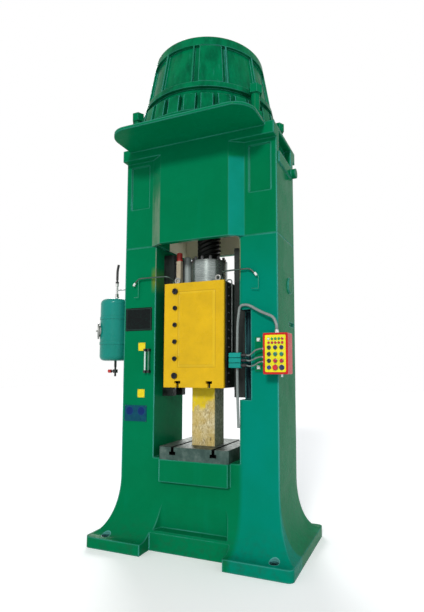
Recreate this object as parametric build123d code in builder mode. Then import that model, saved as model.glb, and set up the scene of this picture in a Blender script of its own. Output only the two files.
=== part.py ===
from build123d import *
import math
import os

# Electric screw press with a direct-drive motor on top of a two-post cast frame.
# Millimetres. Origin: centre of the footprint on the floor. Front is -Y, +Z is up.

# Frame
post_half_width = 760
post_half_depth = 272
window_half = 420
seam_z = 2700
foot_half_width = 935
foot_half_depth = 545
foot_thickness = 93
foot_gap_half = 375
foot_ledge_depth = 43
flare_height = 481
foot_corner_radius = 45
anchor_x = 770
anchor_y = 465
anchor_hole_radius = 24
anchor_face_radius = 38
plinth_half_depth = 394
plinth_top = 166
knee_half_width = 315
knee_half_depth = 290
knee_mouth_half_depth = 450
knee_corner_radius = 30
block_half_width = 330
block_half_depth = 324
block_bottom = 563
block_top = 757
pocket_width = 101
pocket_depth = 130
pocket_bottom = 1290
pocket_top = 2055
side_boss_radius = 74
side_boss_z = 2302
side_boss_y = 106
side_boss_proud = 12
side_slot_length = 170
side_slot_height = 34
side_slot_z = 1950
side_slot_y = 150
side_slot_depth = 15

# Crown casting
crown_top = 3655
band_half_depth = 346
band_bottom = 3547
cover_half_width = 342
cover_root_half = 466
deck_half_width = 677
deck_half_depth = 735
deck_thickness = 27
deck_corner_radius = 190
cavity_half_width = 400
cavity_half_depth = 290
cavity_top = 3500
panel_inner_x = 508
panel_outer_x = 707
panel_bottom = 3083
panel_top = 3505
panel_depth = 12
niche_half_length = 200
niche_bottom = 3440
niche_depth = 68
pad_bottom = 3340
pad_proud = 12
pad_half_length = 215
lug_radius = 45
lug_reach = 55
lug_y = 190

# Tie rods that hold the frame together
tie_x = 590
tie_y = 150
tie_radius = 50
tie_clearance = 2
tie_nut_radius = 78
tie_nut_height = 70
tie_pocket_radius = 85
tie_pocket_depth = 100

# Motor housing
flange_radius = 700
flange_thickness = 45
cone_radius_low = 663
cone_radius_high = 524
cone_top = 4470
housing_top = 4485
housing_edge_radius = 30
housing_wall = 18
panel_sink = 26
ledge_bottom = 3945
ledge_top = 3998
ledge_proud = 8
rim_bottom = 4385
fin_count = 12
fin_thickness = 13
fin_first = 10
pocket_block_count = 28
pocket_block_first = 10.2
pocket_block_half_width = 52
pocket_block_top = 3865
pocket_block_proud = 22
door_first = 15.5
door_arc = 20.5
door_bottom = 4003
door_top = 4378
door_thickness = 28
seat_gap = 0.3
stud_x = 597
stud_y = 345
stud_radius = 39
stud_hole_clearance = 0.5
stud_lug_radius = 62
stud_nut_radius = 60
stud_nut_height = 75
stud_nut_base = 3915
clamp_nut_height = 50
nut_clearance = 1.5

# Motor inside the housing
stator_outer = 505
stator_wall = 20
stator_top = 4262
core_inner = 402
core_bottom = 3800
core_height = 400
winding_inner = 415
winding_outer = 460
winding_height = 50
air_gap = 4
rotor_rim = 68
rotor_web = 80
rotor_hub_radius = 200
brake_plate_thickness = 20
brake_plate_inner = 150
brake_disc_radius = 200
brake_disc_thickness = 20
brake_disc_bottom = 4312
brake_gap = 1.5
caliper_count = 3
caliper_width = 110
caliper_inner = 160
caliper_outer = 240
caliper_top = 4350

# Main screw and its bearings
screw_radius = 110
screw_bottom = 1960
journal_radius = 120
journal_top = 4345
collar_radius = 200
collar_height = 40
bearing_thickness = 20
bush_outer = 150
running_gap = 0.05
lock_nut_radius = 180
lock_nut_height = 40

# Ram
ram_half_width = 286
ram_half_depth = 293
ram_bottom = 1386
ram_top = 2319
ram_travel = 260
wing_half_width = 400
wing_half_depth = 59.5
wing_bottom = 1400
wing_top = 2305
plate_half_width = 293
plate_thickness = 30
raised_left = -150
raised_right = 211
raised_bottom = 1567
raised_top = 2238
raised_height = 12
raised_slant = 60
raised_corner = 26
plate_bolt_x = -182
plate_bolt_first_z = 1490
plate_bolt_pitch = 151
plate_bolt_count = 6
plate_bolt_radius = 20
end_bolt_radius = 27
plate_bolt_height = 15
ram_slot_x = 154
ram_slot_neck = 28
ram_slot_neck_depth = 36
ram_slot_head = 60
ram_slot_head_height = 22
nut_flange_radius = 176
nut_flange_top = 2560
nut_body_bottom = 2000
nut_bolt_count = 12
nut_bolt_circle = 150
nut_bolt_radius = 15
nut_bolt_height = 38
screw_well_radius = 125
screw_well_bottom = 1650
side_strip_y = -220
side_strip_half_width = 50
side_strip_thickness = 10
strip_bolt_radius = 9
strip_bolt_height = 8
strip_bolt_count = 12
eye_left_x = -208
eye_right_x = 200
eye_y = -235
eye_radius = 22
eye_wire = 7
eye_shank = 12
eye_rise = 40
post_x = 264
post_y = 100
striker_radius = 22
striker_height = 258
buffer_radius = 27
buffer_height = 16
buffer_pitch = 20
buffer_core_radius = 20
buffer_count = 4
guide_rod_x = -232
guide_rod_y = 5
guide_rod_radius = 36
guide_rod_height = 314
guide_rod_edge = 5
arm_offset = 43
arm_radius = 7
arm_y = -300
arm_high = 2396
grease_radius = 6
grease_y = -140

# Guide rails on the columns
rail_inner_x = 310
rail_half_gap = 60
rail_depth = 64
rail_bottom = 1300
rail_margin = 75
rail_bolt_radius = 14
rail_bolt_height = 9
rail_bolt_count = 9

# Bolster and the timber prop that the ram rests on
bolster_half_width = 334
bolster_half_depth = 324
bolster_height = 112
bolster_corner = 16
bolster_slot_x = 196
bolster_slot_neck = 28
bolster_slot_neck_depth = 40
bolster_slot_head = 62
bolster_slot_head_height = 28
prop_width = 228
prop_depth = 207
prop_x = 19
prop_y = -47
prop_corner = 6

# Air tank on the left post
tank_gap = 32
tank_y = -149
tank_radius = 153
tank_bottom = 1631
tank_height = 606
tank_dome = 46
tank_wall = 8
tank_hole_radius = 6
strap_width = 26
strap_thickness = 4
strap_low = 1800
strap_high = 2045
tank_bracket_height = 330
tank_bracket_half_depth = 45
inlet_radius = 11
inlet_boss_height = 28
inlet_hex_height = 30
branch_radius = 7
branch_z = 2335
joint_radius = 15
joint_height = 30
lever_z = 2402
lever_hub_radius = 16
lever_hub_height = 20
lever_neck_height = 12
lever_grip_radius = 12
drain_height = 118
drain_radius = 12
drain_block_half = 17
drain_axle_length = 28
drain_knob_radius = 17
drain_knob_length = 32
hatch_turn = 216
hatch_radius = 80
hatch_neck_radius = 58
hatch_stand_off = 8
hatch_thickness = 14
hatch_screw_radius = 9
hatch_screw_length = 16

# Control box on the right post
box_left = 676
box_right = 881
box_bottom = 1507
box_top = 1836
box_depth = 113
box_wall = 6
box_front_y = -417
door_depth = 20
box_corner_radius = 8
bracket_left = 560
bracket_inset = 20
bracket_thickness = 12
bracket_bolt_x = 592
bracket_bolt_rows = (1793, 1562)
bracket_bolt_radius = 14
bracket_bolt_height = 10
panel_margin = 17
panel_thickness = 3
button_columns = (727, 779, 831)
button_rows = (1719, 1666.5, 1613.5, 1560.5)
button_radius = 14
button_rise = 12
button_stem = 8
button_hole_gap = 0.4
press_travel = 4
stop_travel = 6
travel_spare = 0.5
stop_radius = 20
selector_radius = 19
selector_base = 10
selector_grip_width = 12
selector_grip_height = 10
lamp_first_x = 724
lamp_pitch = 28.2
lamp_rows = (1788, 1757)
lamp_count = 5
lamp_radius = 9
lamp_rise = 6
box_gland_radius = 15
box_gland_height = 30
box_gland_x = 771
box_gland_y = -350
low_gland_x = 812
low_gland_radius = 9
low_gland_length = 22
side_gland_radius = 12
side_gland_length = 26
side_gland_rows = (1608, 1647, 1714)
gland_y = -340

# Connector block beside the ram
connector_left = 346
connector_right = 452
connector_bottom = 1559
connector_height = 38
connector_pitch = 43
connector_count = 3
connector_depth = 34
connector_back_y = -306
connector_post = 24
plug_length = 48
plug_radius = 13
cable_radius = 6.5
conduit_radius = 11.5
conduit_y = -290

# Plates and gauges on the left post
nameplate_left = -745
nameplate_right = -456
nameplate_bottom = 1907
nameplate_top = 2124
plate_sheet = 3
sign_side = 75
sign_x = -560
sign_rows = (1757, 1326)
disc_plate_left = -736
disc_plate_right = -496
disc_plate_bottom = 1070
disc_plate_top = 1217
sight_x = (-508, -470)
sight_bottom = 1514
sight_top = 1736
sight_radius = 8
sight_standoff = 26
sight_end_height = 24
sight_end_half = 11

bolster_top = block_top + bolster_height
flare_top = foot_thickness + flare_height
flare_x = foot_half_width - post_half_width
flare_y = foot_half_depth - foot_ledge_depth - post_half_depth
deck_bottom = crown_top - deck_thickness
flange_top = crown_top + flange_thickness
front_plate_y = -ram_half_depth - plate_thickness
collar_top = cavity_top - bearing_thickness - seat_gap
rail_top = wing_top + ram_travel + rail_margin
tank_x = -(post_half_width + tank_gap + tank_radius)
tank_top = tank_bottom + tank_height
post_face_y = -post_half_depth
box_back_y = box_front_y + door_depth + box_depth
door_back_y = box_front_y + door_depth
front_and_back = (1, -1)


def save(piece, label):
    piece.part.label = label
    export_step(piece.part, "parts/" + label + ".step")


def cone_radius(z):
    """Outer radius of the housing's fins and bands at height z."""
    share = (z - flange_top) / (cone_top - flange_top)
    return cone_radius_low + share * (cone_radius_high - cone_radius_low)


def front_plane(y):
    """A plane that faces the front at depth y, with X to the right and Z up."""
    return Plane(origin=(0, y, 0), x_dir=(1, 0, 0), z_dir=(0, -1, 0))


def radial_plane(degrees):
    """A plane through the screw axis, turned from the front towards +X."""
    a = math.radians(degrees)
    out = (math.sin(a), -math.cos(a), 0)
    side = (math.cos(a), math.sin(a), 0)
    return Plane(origin=(0, 0, 0), x_dir=out, z_dir=Vector(out).cross(Vector(0, 0, 1)))


def bend_radii(points):
    """One radius a corner: 0.45 of the shorter run over the tangent of half the turn."""
    radii = []
    for a, b, c in zip(points, points[1:], points[2:]):
        before = Vector(b) - Vector(a)
        after = Vector(c) - Vector(b)
        half_turn = math.radians(before.get_angle(after)) / 2
        radii.append(0.45 * min(before.length, after.length) / math.tan(half_turn))
    return radii


def tube(name, points, radius):
    """A round tube along straight runs and tangent arcs."""
    radii = bend_radii(points)
    print(name, "bend radii", [round(r) for r in radii])
    with BuildPart() as made:
        with BuildLine() as path:
            FilletPolyline(*points, radius=radii)
        with BuildSketch(Plane(origin=points[0], z_dir=Vector(points[1]) - Vector(points[0]))):
            Circle(radius)
        sweep(path=path.line)
    length = path.wires()[0].length
    print(name, "volume over section times length", made.part.volume / (math.pi * radius**2 * length))
    return made


def tee_slots(x, y_reach, mouth_z, neck, neck_depth, head, head_height, up):
    """Cuts a pair of T-slots along Y. up is 1 where the slots open upwards, else -1."""
    for side in front_and_back:
        neck_z = mouth_z - up * neck_depth / 2
        head_z = mouth_z - up * (neck_depth + head_height / 2)
        with BuildSketch(front_plane(0)) as profile:
            with Locations((side * x, neck_z)):
                Rectangle(neck, neck_depth + 0.02)
            with Locations((side * x, head_z)):
                Rectangle(head, head_height)
        extrude(profile.sketch, amount=y_reach, both=True, mode=Mode.SUBTRACT)


os.makedirs("parts", exist_ok=True)

# Lower frame: two posts, feet and bed in one casting
with BuildPart() as base_frame:
    with BuildSketch(Plane.XZ):
        with BuildLine():
            Line((0, 0), (foot_half_width, 0))
            Line((foot_half_width, 0), (foot_half_width, foot_thickness))
            EllipticalCenterArc(
                (foot_half_width, flare_top), flare_x, flare_height, start_angle=180, arc_size=90
            )
            Line((post_half_width, flare_top), (post_half_width, seam_z))
            Line((post_half_width, seam_z), (0, seam_z))
            mirror(about=Plane.YZ)
        make_face()
    extrude(amount=foot_half_depth, both=True)
    flare_edge_y = foot_half_depth - foot_ledge_depth
    with BuildSketch(Plane.YZ):
        with BuildLine():
            Line((0, 0), (foot_half_depth, 0))
            Line((foot_half_depth, 0), (foot_half_depth, foot_thickness))
            Line((foot_half_depth, foot_thickness), (flare_edge_y, foot_thickness))
            EllipticalCenterArc(
                (flare_edge_y, flare_top), flare_y, flare_height, start_angle=180, arc_size=90
            )
            Line((post_half_depth, flare_top), (post_half_depth, seam_z))
            Line((post_half_depth, seam_z), (0, seam_z))
            mirror(about=Plane.YZ)
        make_face()
    extrude(amount=foot_half_width, both=True, mode=Mode.INTERSECT)
    # the foot slab is rounded at its corners below the flare
    with BuildSketch(Plane.XY):
        RectangleRounded(2 * foot_half_width, 2 * foot_half_depth, foot_corner_radius)
    extrude(amount=seam_z, mode=Mode.INTERSECT)
    # the opening between the posts
    with BuildSketch(front_plane(0)):
        with Locations((0, (block_top + seam_z) / 2)):
            Rectangle(2 * window_half, seam_z - block_top)
    extrude(amount=foot_half_depth, both=True, mode=Mode.SUBTRACT)
    # the hollow knees under the block, front and back
    for side in front_and_back:
        with BuildSketch(Plane.XY.offset(plinth_top)) as knee:
            with BuildLine():
                Polyline(
                    (-knee_half_width, -side * knee_half_depth),
                    (knee_half_width, -side * knee_half_depth),
                    (foot_gap_half, -side * knee_mouth_half_depth),
                    (foot_gap_half, -side * (foot_half_depth + 1)),
                    (-foot_gap_half, -side * (foot_half_depth + 1)),
                    (-foot_gap_half, -side * knee_mouth_half_depth),
                    close=True,
                )
            make_face()
            fillet(
                knee.vertices().filter_by(lambda v: abs(v.Y) < knee_half_depth + 1),
                knee_corner_radius,
            )
        extrude(amount=block_bottom - plinth_top, mode=Mode.SUBTRACT)
        with BuildSketch(Plane.XY):
            with Locations((0, -side * (foot_half_depth + 1 + plinth_half_depth) / 2)):
                Rectangle(2 * foot_gap_half, foot_half_depth + 1 - plinth_half_depth)
        extrude(amount=plinth_top, mode=Mode.SUBTRACT)
    # the block that carries the bolster
    with BuildSketch(Plane.XY.offset(block_bottom)):
        Rectangle(2 * block_half_width, 2 * block_half_depth)
    extrude(amount=block_top - block_bottom)
    # access pocket in the inner front corner of the right post
    with BuildSketch(front_plane(post_face_y)):
        with Locations((window_half + pocket_width / 2, (pocket_bottom + pocket_top) / 2)):
            Rectangle(pocket_width, pocket_top - pocket_bottom)
    extrude(amount=-pocket_depth, mode=Mode.SUBTRACT)
    # round boss and slot on both outer walls
    for side in front_and_back:
        wall = Plane(origin=(side * post_half_width, 0, 0), x_dir=(0, 1, 0), z_dir=(side, 0, 0))
        with BuildSketch(wall):
            with Locations((side_boss_y, side * side_boss_z)):
                Circle(side_boss_radius)
        extrude(amount=side_boss_proud)
        with BuildSketch(wall):
            with Locations((side_slot_y, side * side_slot_z)):
                SlotOverall(side_slot_length, side_slot_height)
        extrude(amount=-side_slot_depth, mode=Mode.SUBTRACT)
    # tie-rod bores with nut pockets underneath, and anchor holes with spot faces
    with BuildSketch(Plane.XY):
        with GridLocations(2 * tie_x, 2 * tie_y, 2, 2):
            Circle(tie_radius + tie_clearance)
    extrude(amount=seam_z, mode=Mode.SUBTRACT)
    with BuildSketch(Plane.XY):
        with GridLocations(2 * tie_x, 2 * tie_y, 2, 2):
            Circle(tie_pocket_radius)
    extrude(amount=tie_pocket_depth, mode=Mode.SUBTRACT)
    with BuildSketch(Plane.XY):
        with GridLocations(2 * anchor_x, 2 * anchor_y, 2, 2):
            Circle(anchor_hole_radius)
    extrude(amount=flare_top, mode=Mode.SUBTRACT)
    with BuildSketch(Plane.XY.offset(foot_thickness)):
        with GridLocations(2 * anchor_x, 2 * anchor_y, 2, 2):
            Circle(anchor_face_radius)
    extrude(amount=flare_height, mode=Mode.SUBTRACT)
save(base_frame, "base_frame")

# Crown: the upper casting, hollow and open below, with the deck that carries the motor
with BuildPart() as crown:
    with BuildSketch(Plane.XY.offset(seam_z)):
        Rectangle(2 * post_half_width, 2 * post_half_depth)
    extrude(amount=crown_top - seam_z)
    with BuildSketch(Plane.XY.offset(seam_z)):
        Polygon(
            (-cover_root_half, -post_half_depth),
            (-cover_half_width, -band_half_depth),
            (cover_half_width, -band_half_depth),
            (cover_root_half, -post_half_depth),
            (cover_root_half, post_half_depth),
            (cover_half_width, band_half_depth),
            (-cover_half_width, band_half_depth),
            (-cover_root_half, post_half_depth),
            align=None,
        )
    extrude(amount=band_bottom - seam_z)
    with BuildSketch(Plane.XY.offset(band_bottom)):
        Rectangle(2 * post_half_width, 2 * band_half_depth)
    extrude(amount=crown_top - band_bottom)
    with BuildSketch(Plane.XY.offset(deck_bottom)):
        RectangleRounded(2 * deck_half_width, 2 * deck_half_depth, deck_corner_radius)
    extrude(amount=deck_thickness)
    with BuildSketch(Plane.XY.offset(seam_z)):
        Rectangle(2 * cavity_half_width, 2 * cavity_half_depth)
    extrude(amount=cavity_top - seam_z, mode=Mode.SUBTRACT)
    with BuildSketch(Plane.XY.offset(cavity_top)):
        Circle(bush_outer)
    extrude(amount=crown_top - cavity_top, mode=Mode.SUBTRACT)
    for side in front_and_back:
        # sunk panels beside the cover
        with BuildSketch(front_plane(-side * post_half_depth)):
            for hand in front_and_back:
                with Locations((hand * (panel_inner_x + panel_outer_x) / 2, (panel_bottom + panel_top) / 2)):
                    Rectangle(panel_outer_x - panel_inner_x, panel_top - panel_bottom)
        extrude(amount=-side * panel_depth, mode=Mode.SUBTRACT)
        # niche under the deck, the pad below it and the lifting lug
        wall = Plane(origin=(side * post_half_width, 0, 0), x_dir=(0, 1, 0), z_dir=(side, 0, 0))
        with BuildSketch(wall):
            with Locations((0, side * (niche_bottom + deck_bottom) / 2)):
                Rectangle(2 * niche_half_length, deck_bottom - niche_bottom)
        extrude(amount=-niche_depth, mode=Mode.SUBTRACT)
        with BuildSketch(wall):
            with Locations((0, side * (pad_bottom + niche_bottom) / 2)):
                Rectangle(2 * pad_half_length, niche_bottom - pad_bottom)
        extrude(amount=pad_proud)
        with BuildSketch(wall):
            with Locations((lug_y, side * (pad_bottom + niche_bottom) / 2)):
                Circle(lug_radius)
        extrude(amount=lug_reach)
    with BuildSketch(Plane.XY.offset(seam_z)):
        with GridLocations(2 * tie_x, 2 * tie_y, 2, 2):
            Circle(tie_radius + tie_clearance)
    extrude(amount=crown_top - seam_z, mode=Mode.SUBTRACT)
    with BuildSketch(Plane.XY.offset(crown_top - tie_pocket_depth)):
        with GridLocations(2 * tie_x, 2 * tie_y, 2, 2):
            Circle(tie_pocket_radius)
    extrude(amount=tie_pocket_depth, mode=Mode.SUBTRACT)
save(crown, "crown")

# Four tie rods with a nut at each end
with BuildPart() as tie_rods:
    rod_low = tie_pocket_depth - tie_nut_height
    rod_high = crown_top - tie_pocket_depth + tie_nut_height
    with BuildSketch(Plane.XY.offset(rod_low)):
        with GridLocations(2 * tie_x, 2 * tie_y, 2, 2):
            Circle(tie_radius)
    extrude(amount=rod_high - rod_low)
    for nut_z in (rod_low, rod_high - tie_nut_height):
        with BuildSketch(Plane.XY.offset(nut_z)):
            with GridLocations(2 * tie_x, 2 * tie_y, 2, 2):
                RegularPolygon(tie_nut_radius, 6)
        extrude(amount=tie_nut_height)
save(tie_rods, "tie_rods")

# Motor housing: a ribbed conical shell on a flange
with BuildPart() as motor_housing:
    outer_low = cone_radius(flange_top) - panel_sink
    outer_high = cone_radius(rim_bottom) - panel_sink
    inner_low = outer_low - housing_wall
    inner_high = cone_radius(housing_top - housing_wall) - panel_sink - housing_wall
    with BuildSketch(Plane.XZ):
        with BuildLine():
            Polyline(
                (inner_low, crown_top),
                (flange_radius, crown_top),
                (flange_radius, flange_top),
                (outer_low, flange_top),
                (cone_radius(ledge_bottom) - panel_sink, ledge_bottom),
                (cone_radius(ledge_bottom) + ledge_proud, ledge_bottom),
                (cone_radius(ledge_top) + ledge_proud, ledge_top),
                (cone_radius(ledge_top) - panel_sink, ledge_top),
                (outer_high, rim_bottom),
                (cone_radius(rim_bottom), rim_bottom),
                (cone_radius(housing_top), housing_top),
                (0, housing_top),
                (0, housing_top - housing_wall),
                (inner_high, housing_top - housing_wall),
                (inner_low, flange_top),
                close=True,
            )
        make_face()
    revolve(axis=Axis.Z)
    fillet(motor_housing.edges().group_by(Axis.Z)[-1], housing_edge_radius)
    for index in range(fin_count):
        with BuildSketch(radial_plane(fin_first + index * 360 / fin_count)):
            with BuildLine():
                Polyline(
                    (cone_radius(ledge_top) - 2 * panel_sink, ledge_top - 1),
                    (cone_radius(ledge_top), ledge_top - 1),
                    (cone_radius(rim_bottom), rim_bottom + 1),
                    (cone_radius(rim_bottom) - 2 * panel_sink, rim_bottom + 1),
                    close=True,
                )
            make_face()
        extrude(amount=fin_thickness / 2, both=True)
    for index in range(pocket_block_count):
        with BuildSketch(radial_plane(pocket_block_first + index * 360 / pocket_block_count)):
            with BuildLine():
                Polyline(
                    (inner_low + 4, flange_top - 1),
                    (cone_radius(flange_top) + pocket_block_proud, flange_top - 1),
                    (cone_radius(pocket_block_top) + pocket_block_proud, pocket_block_top),
                    (inner_low + 4, pocket_block_top + panel_sink),
                    close=True,
                )
            make_face()
        extrude(amount=pocket_block_half_width, both=True)
    # the blocks stop at the inner cone
    with BuildSketch(Plane.XZ):
        with BuildLine():
            Polyline(
                (0, flange_top - 2),
                (inner_low, flange_top - 2),
                (inner_low, flange_top),
                (inner_high, housing_top - housing_wall),
                (0, housing_top - housing_wall),
                close=True,
            )
        make_face()
    revolve(axis=Axis.Z, mode=Mode.SUBTRACT)
    # lugs for the hold-down studs
    with BuildSketch(Plane.XY.offset(crown_top)):
        with GridLocations(2 * stud_x, 2 * stud_y, 2, 2):
            Circle(stud_lug_radius)
    extrude(amount=flange_thickness)
    with BuildSketch(Plane.XY.offset(crown_top)):
        with GridLocations(2 * stud_x, 2 * stud_y, 2, 2):
            Circle(stud_radius + stud_hole_clearance)
    extrude(amount=flange_thickness, mode=Mode.SUBTRACT)
    with BuildSketch(Plane.XY.offset(flange_top)):
        with GridLocations(2 * stud_x, 2 * stud_y, 2, 2):
            Circle(stud_nut_radius + nut_clearance)
    extrude(amount=stud_nut_base - flange_top, mode=Mode.SUBTRACT)
save(motor_housing, "motor_housing")

# Inspection door on the housing, between two fins
with BuildPart() as housing_door:
    with BuildSketch(radial_plane(door_first)):
        with BuildLine():
            Polyline(
                (cone_radius(door_bottom) - panel_sink + seat_gap, door_bottom),
                (cone_radius(door_bottom) - panel_sink + door_thickness, door_bottom),
                (cone_radius(door_top) - panel_sink + door_thickness, door_top),
                (cone_radius(door_top) - panel_sink + seat_gap, door_top),
                close=True,
            )
        make_face()
    revolve(axis=Axis.Z, revolution_arc=door_arc)
save(housing_door, "housing_door")

# Hold-down studs at the four corners of the housing
with BuildPart() as hold_down_studs:
    with BuildSketch(Plane.XY.offset(crown_top)):
        with GridLocations(2 * stud_x, 2 * stud_y, 2, 2):
            Circle(stud_radius)
    extrude(amount=stud_nut_base - crown_top)
    for base, height in ((flange_top, clamp_nut_height), (stud_nut_base, stud_nut_height)):
        with BuildSketch(Plane.XY.offset(base)):
            with GridLocations(2 * stud_x, 2 * stud_y, 2, 2):
                RegularPolygon(stud_nut_radius, 6)
        extrude(amount=height)
save(hold_down_studs, "hold_down_studs")


def ring(label, inner, outer, low, high):
    """A plain turned ring about the screw axis."""
    with BuildPart() as made:
        with BuildSketch(Plane.XY.offset(low)):
            Circle(outer)
            Circle(inner, mode=Mode.SUBTRACT)
        extrude(amount=high - low)
    save(made, label)


# Stator, its windings and the casing ring that carries them
core_outer = stator_outer - stator_wall
core_top = core_bottom + core_height
with BuildPart() as stator_frame:
    with BuildSketch(Plane.XY.offset(crown_top)):
        Circle(stator_outer)
        Circle(core_outer, mode=Mode.SUBTRACT)
    extrude(amount=stator_top - crown_top)
    with BuildSketch(Plane.XY.offset(core_bottom - stator_wall)):
        Circle(core_outer + 1)
        Circle(winding_outer + air_gap, mode=Mode.SUBTRACT)
    extrude(amount=stator_wall)
save(stator_frame, "stator_frame")
ring("stator_core", core_inner, core_outer - running_gap, core_bottom, core_top)
with BuildPart() as stator_windings:
    for low in (core_bottom - winding_height, core_top):
        with BuildSketch(Plane.XY.offset(low)):
            Circle(winding_outer)
            Circle(winding_inner, mode=Mode.SUBTRACT)
        extrude(amount=winding_height)
save(stator_windings, "stator_windings")

# Thrust ring and bush that carry the screw in the crown
with BuildPart() as screw_bearings:
    with BuildSketch(Plane.XY.offset(cavity_top - bearing_thickness)):
        Circle(collar_radius)
        Circle(journal_radius + 1, mode=Mode.SUBTRACT)
    extrude(amount=bearing_thickness)
    with BuildSketch(Plane.XY.offset(cavity_top)):
        Circle(bush_outer - running_gap)
        Circle(journal_radius + running_gap, mode=Mode.SUBTRACT)
    extrude(amount=crown_top - cavity_top)
save(screw_bearings, "screw_bearings")

# Main screw with its thrust collar and lock nut
with BuildPart() as main_screw:
    with BuildSketch(Plane.XZ):
        with BuildLine():
            Polyline(
                (0, screw_bottom),
                (screw_radius, screw_bottom),
                (screw_radius, collar_top - collar_height),
                (collar_radius, collar_top - collar_height),
                (collar_radius, collar_top),
                (journal_radius, collar_top),
                (journal_radius, crown_top + seat_gap),
                (lock_nut_radius, crown_top + seat_gap),
                (lock_nut_radius, crown_top + seat_gap + lock_nut_height),
                (journal_radius, crown_top + seat_gap + lock_nut_height),
                (journal_radius, journal_top),
                (0, journal_top),
                close=True,
            )
        make_face()
    revolve(axis=Axis.Z)
save(main_screw, "main_screw")

# Rotor drum, which is also the flywheel
rotor_outer = core_inner - air_gap
with BuildPart() as rotor:
    web_low = core_bottom + (core_height - rotor_web) / 2
    with BuildSketch(Plane.XY.offset(core_bottom)):
        Circle(rotor_outer)
        Circle(rotor_outer - rotor_rim, mode=Mode.SUBTRACT)
        Circle(rotor_hub_radius)
    extrude(amount=core_height)
    with BuildSketch(Plane.XY.offset(web_low)):
        Circle(rotor_outer - rotor_rim + 1)
    extrude(amount=rotor_web)
    with BuildSketch(Plane.XY.offset(core_bottom)):
        Circle(journal_radius + running_gap)
    extrude(amount=core_height, mode=Mode.SUBTRACT)
save(rotor, "rotor")

# Holding brake on top of the screw
ring(
    "brake_disc",
    journal_radius + running_gap,
    brake_disc_radius,
    brake_disc_bottom,
    brake_disc_bottom + brake_disc_thickness,
)
with BuildPart() as brake_unit:
    plate_top = stator_top + brake_plate_thickness
    with BuildSketch(Plane.XY.offset(stator_top)):
        Circle(stator_outer)
        Circle(brake_plate_inner, mode=Mode.SUBTRACT)
    extrude(amount=brake_plate_thickness)
    for index in range(caliper_count):
        with BuildSketch(radial_plane(index * 360 / caliper_count)):
            with Locations(((caliper_inner + caliper_outer) / 2, (plate_top + caliper_top) / 2 - 0.5)):
                Rectangle(caliper_outer - caliper_inner, caliper_top - plate_top + 1)
        extrude(amount=caliper_width / 2, both=True)
    with BuildSketch(Plane.XY.offset(brake_disc_bottom - brake_gap)):
        Circle(brake_disc_radius + brake_gap)
    extrude(amount=brake_disc_thickness + 2 * brake_gap, mode=Mode.SUBTRACT)
save(brake_unit, "brake_unit")

# Bolster with two T-slots
with BuildPart() as bolster:
    with BuildSketch(Plane.XY.offset(block_top)):
        Rectangle(2 * bolster_half_width, 2 * bolster_half_depth)
    extrude(amount=bolster_height)
    chamfer(bolster.edges().filter_by(Axis.Z), bolster_corner)
    tee_slots(
        bolster_slot_x,
        bolster_half_depth,
        bolster_top,
        bolster_slot_neck,
        bolster_slot_neck_depth,
        bolster_slot_head,
        bolster_slot_head_height,
        1,
    )
save(bolster, "bolster")

# Timber prop between the bolster and the ram
with BuildPart() as timber_prop:
    with BuildSketch(Plane.XY.offset(bolster_top)):
        with Locations((prop_x, prop_y)):
            Rectangle(prop_width, prop_depth)
    extrude(amount=ram_bottom - bolster_top - seat_gap)
    chamfer(timber_prop.edges().filter_by(Axis.Z), prop_corner)
save(timber_prop, "timber_prop")

# Four guide rails and their bolts
with BuildPart() as guide_rails:
    rail_y = rail_half_gap + rail_depth / 2
    with BuildSketch(Plane.XY.offset(rail_bottom)):
        with GridLocations(rail_inner_x + window_half, 2 * rail_y, 2, 2):
            Rectangle(window_half - rail_inner_x, rail_depth)
    extrude(amount=rail_top - rail_bottom)
save(guide_rails, "guide_rails")
with BuildPart() as rail_bolts:
    rail_bolt_pitch = (rail_top - rail_bottom) / rail_bolt_count
    rail_mid = (rail_top + rail_bottom) / 2
    for side in front_and_back:
        inner = Plane(origin=(side * rail_inner_x, 0, 0), x_dir=(0, 1, 0), z_dir=(-side, 0, 0))
        with BuildSketch(inner):
            with Locations((0, -side * rail_mid)):
                with GridLocations(2 * rail_y, rail_bolt_pitch, 2, rail_bolt_count):
                    Circle(rail_bolt_radius)
        extrude(amount=rail_bolt_height)
save(rail_bolts, "rail_bolts")

# Ram block with guide wings, screw well and T-slots
with BuildPart() as ram:
    with BuildSketch(Plane.XY.offset(ram_bottom)):
        Rectangle(2 * ram_half_width, 2 * ram_half_depth)
    extrude(amount=ram_top - ram_bottom)
    with BuildSketch(Plane.XY.offset(wing_bottom)):
        Rectangle(2 * wing_half_width, 2 * wing_half_depth)
    extrude(amount=wing_top - wing_bottom)
    with BuildSketch(Plane.XY.offset(nut_body_bottom)):
        Circle(bush_outer)
    extrude(amount=ram_top - nut_body_bottom, mode=Mode.SUBTRACT)
    with BuildSketch(Plane.XY.offset(screw_well_bottom)):
        Circle(screw_well_radius)
    extrude(amount=ram_top - screw_well_bottom, mode=Mode.SUBTRACT)
    tee_slots(
        ram_slot_x,
        ram_half_depth,
        ram_bottom,
        ram_slot_neck,
        ram_slot_neck_depth,
        ram_slot_head,
        ram_slot_head_height,
        -1,
    )
save(ram, "ram")

# Painted plate on the front of the ram
with BuildPart() as ram_front_plate:
    with BuildSketch(front_plane(-ram_half_depth)):
        with Locations((0, (ram_bottom + ram_top) / 2)):
            Rectangle(2 * plate_half_width, ram_top - ram_bottom)
    extrude(amount=plate_thickness)
    with BuildSketch(front_plane(front_plate_y)):
        with Locations(((raised_left + raised_right) / 2, (raised_bottom + raised_top) / 2)):
            RectangleRounded(raised_right - raised_left, raised_top - raised_bottom, raised_corner)
    extrude(amount=raised_height, taper=raised_slant)
    tee_slots(
        ram_slot_x,
        -front_plate_y + raised_height,
        ram_bottom,
        ram_slot_neck,
        ram_slot_neck_depth,
        ram_slot_head,
        ram_slot_head_height,
        -1,
    )
save(ram_front_plate, "ram_front_plate")

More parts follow.
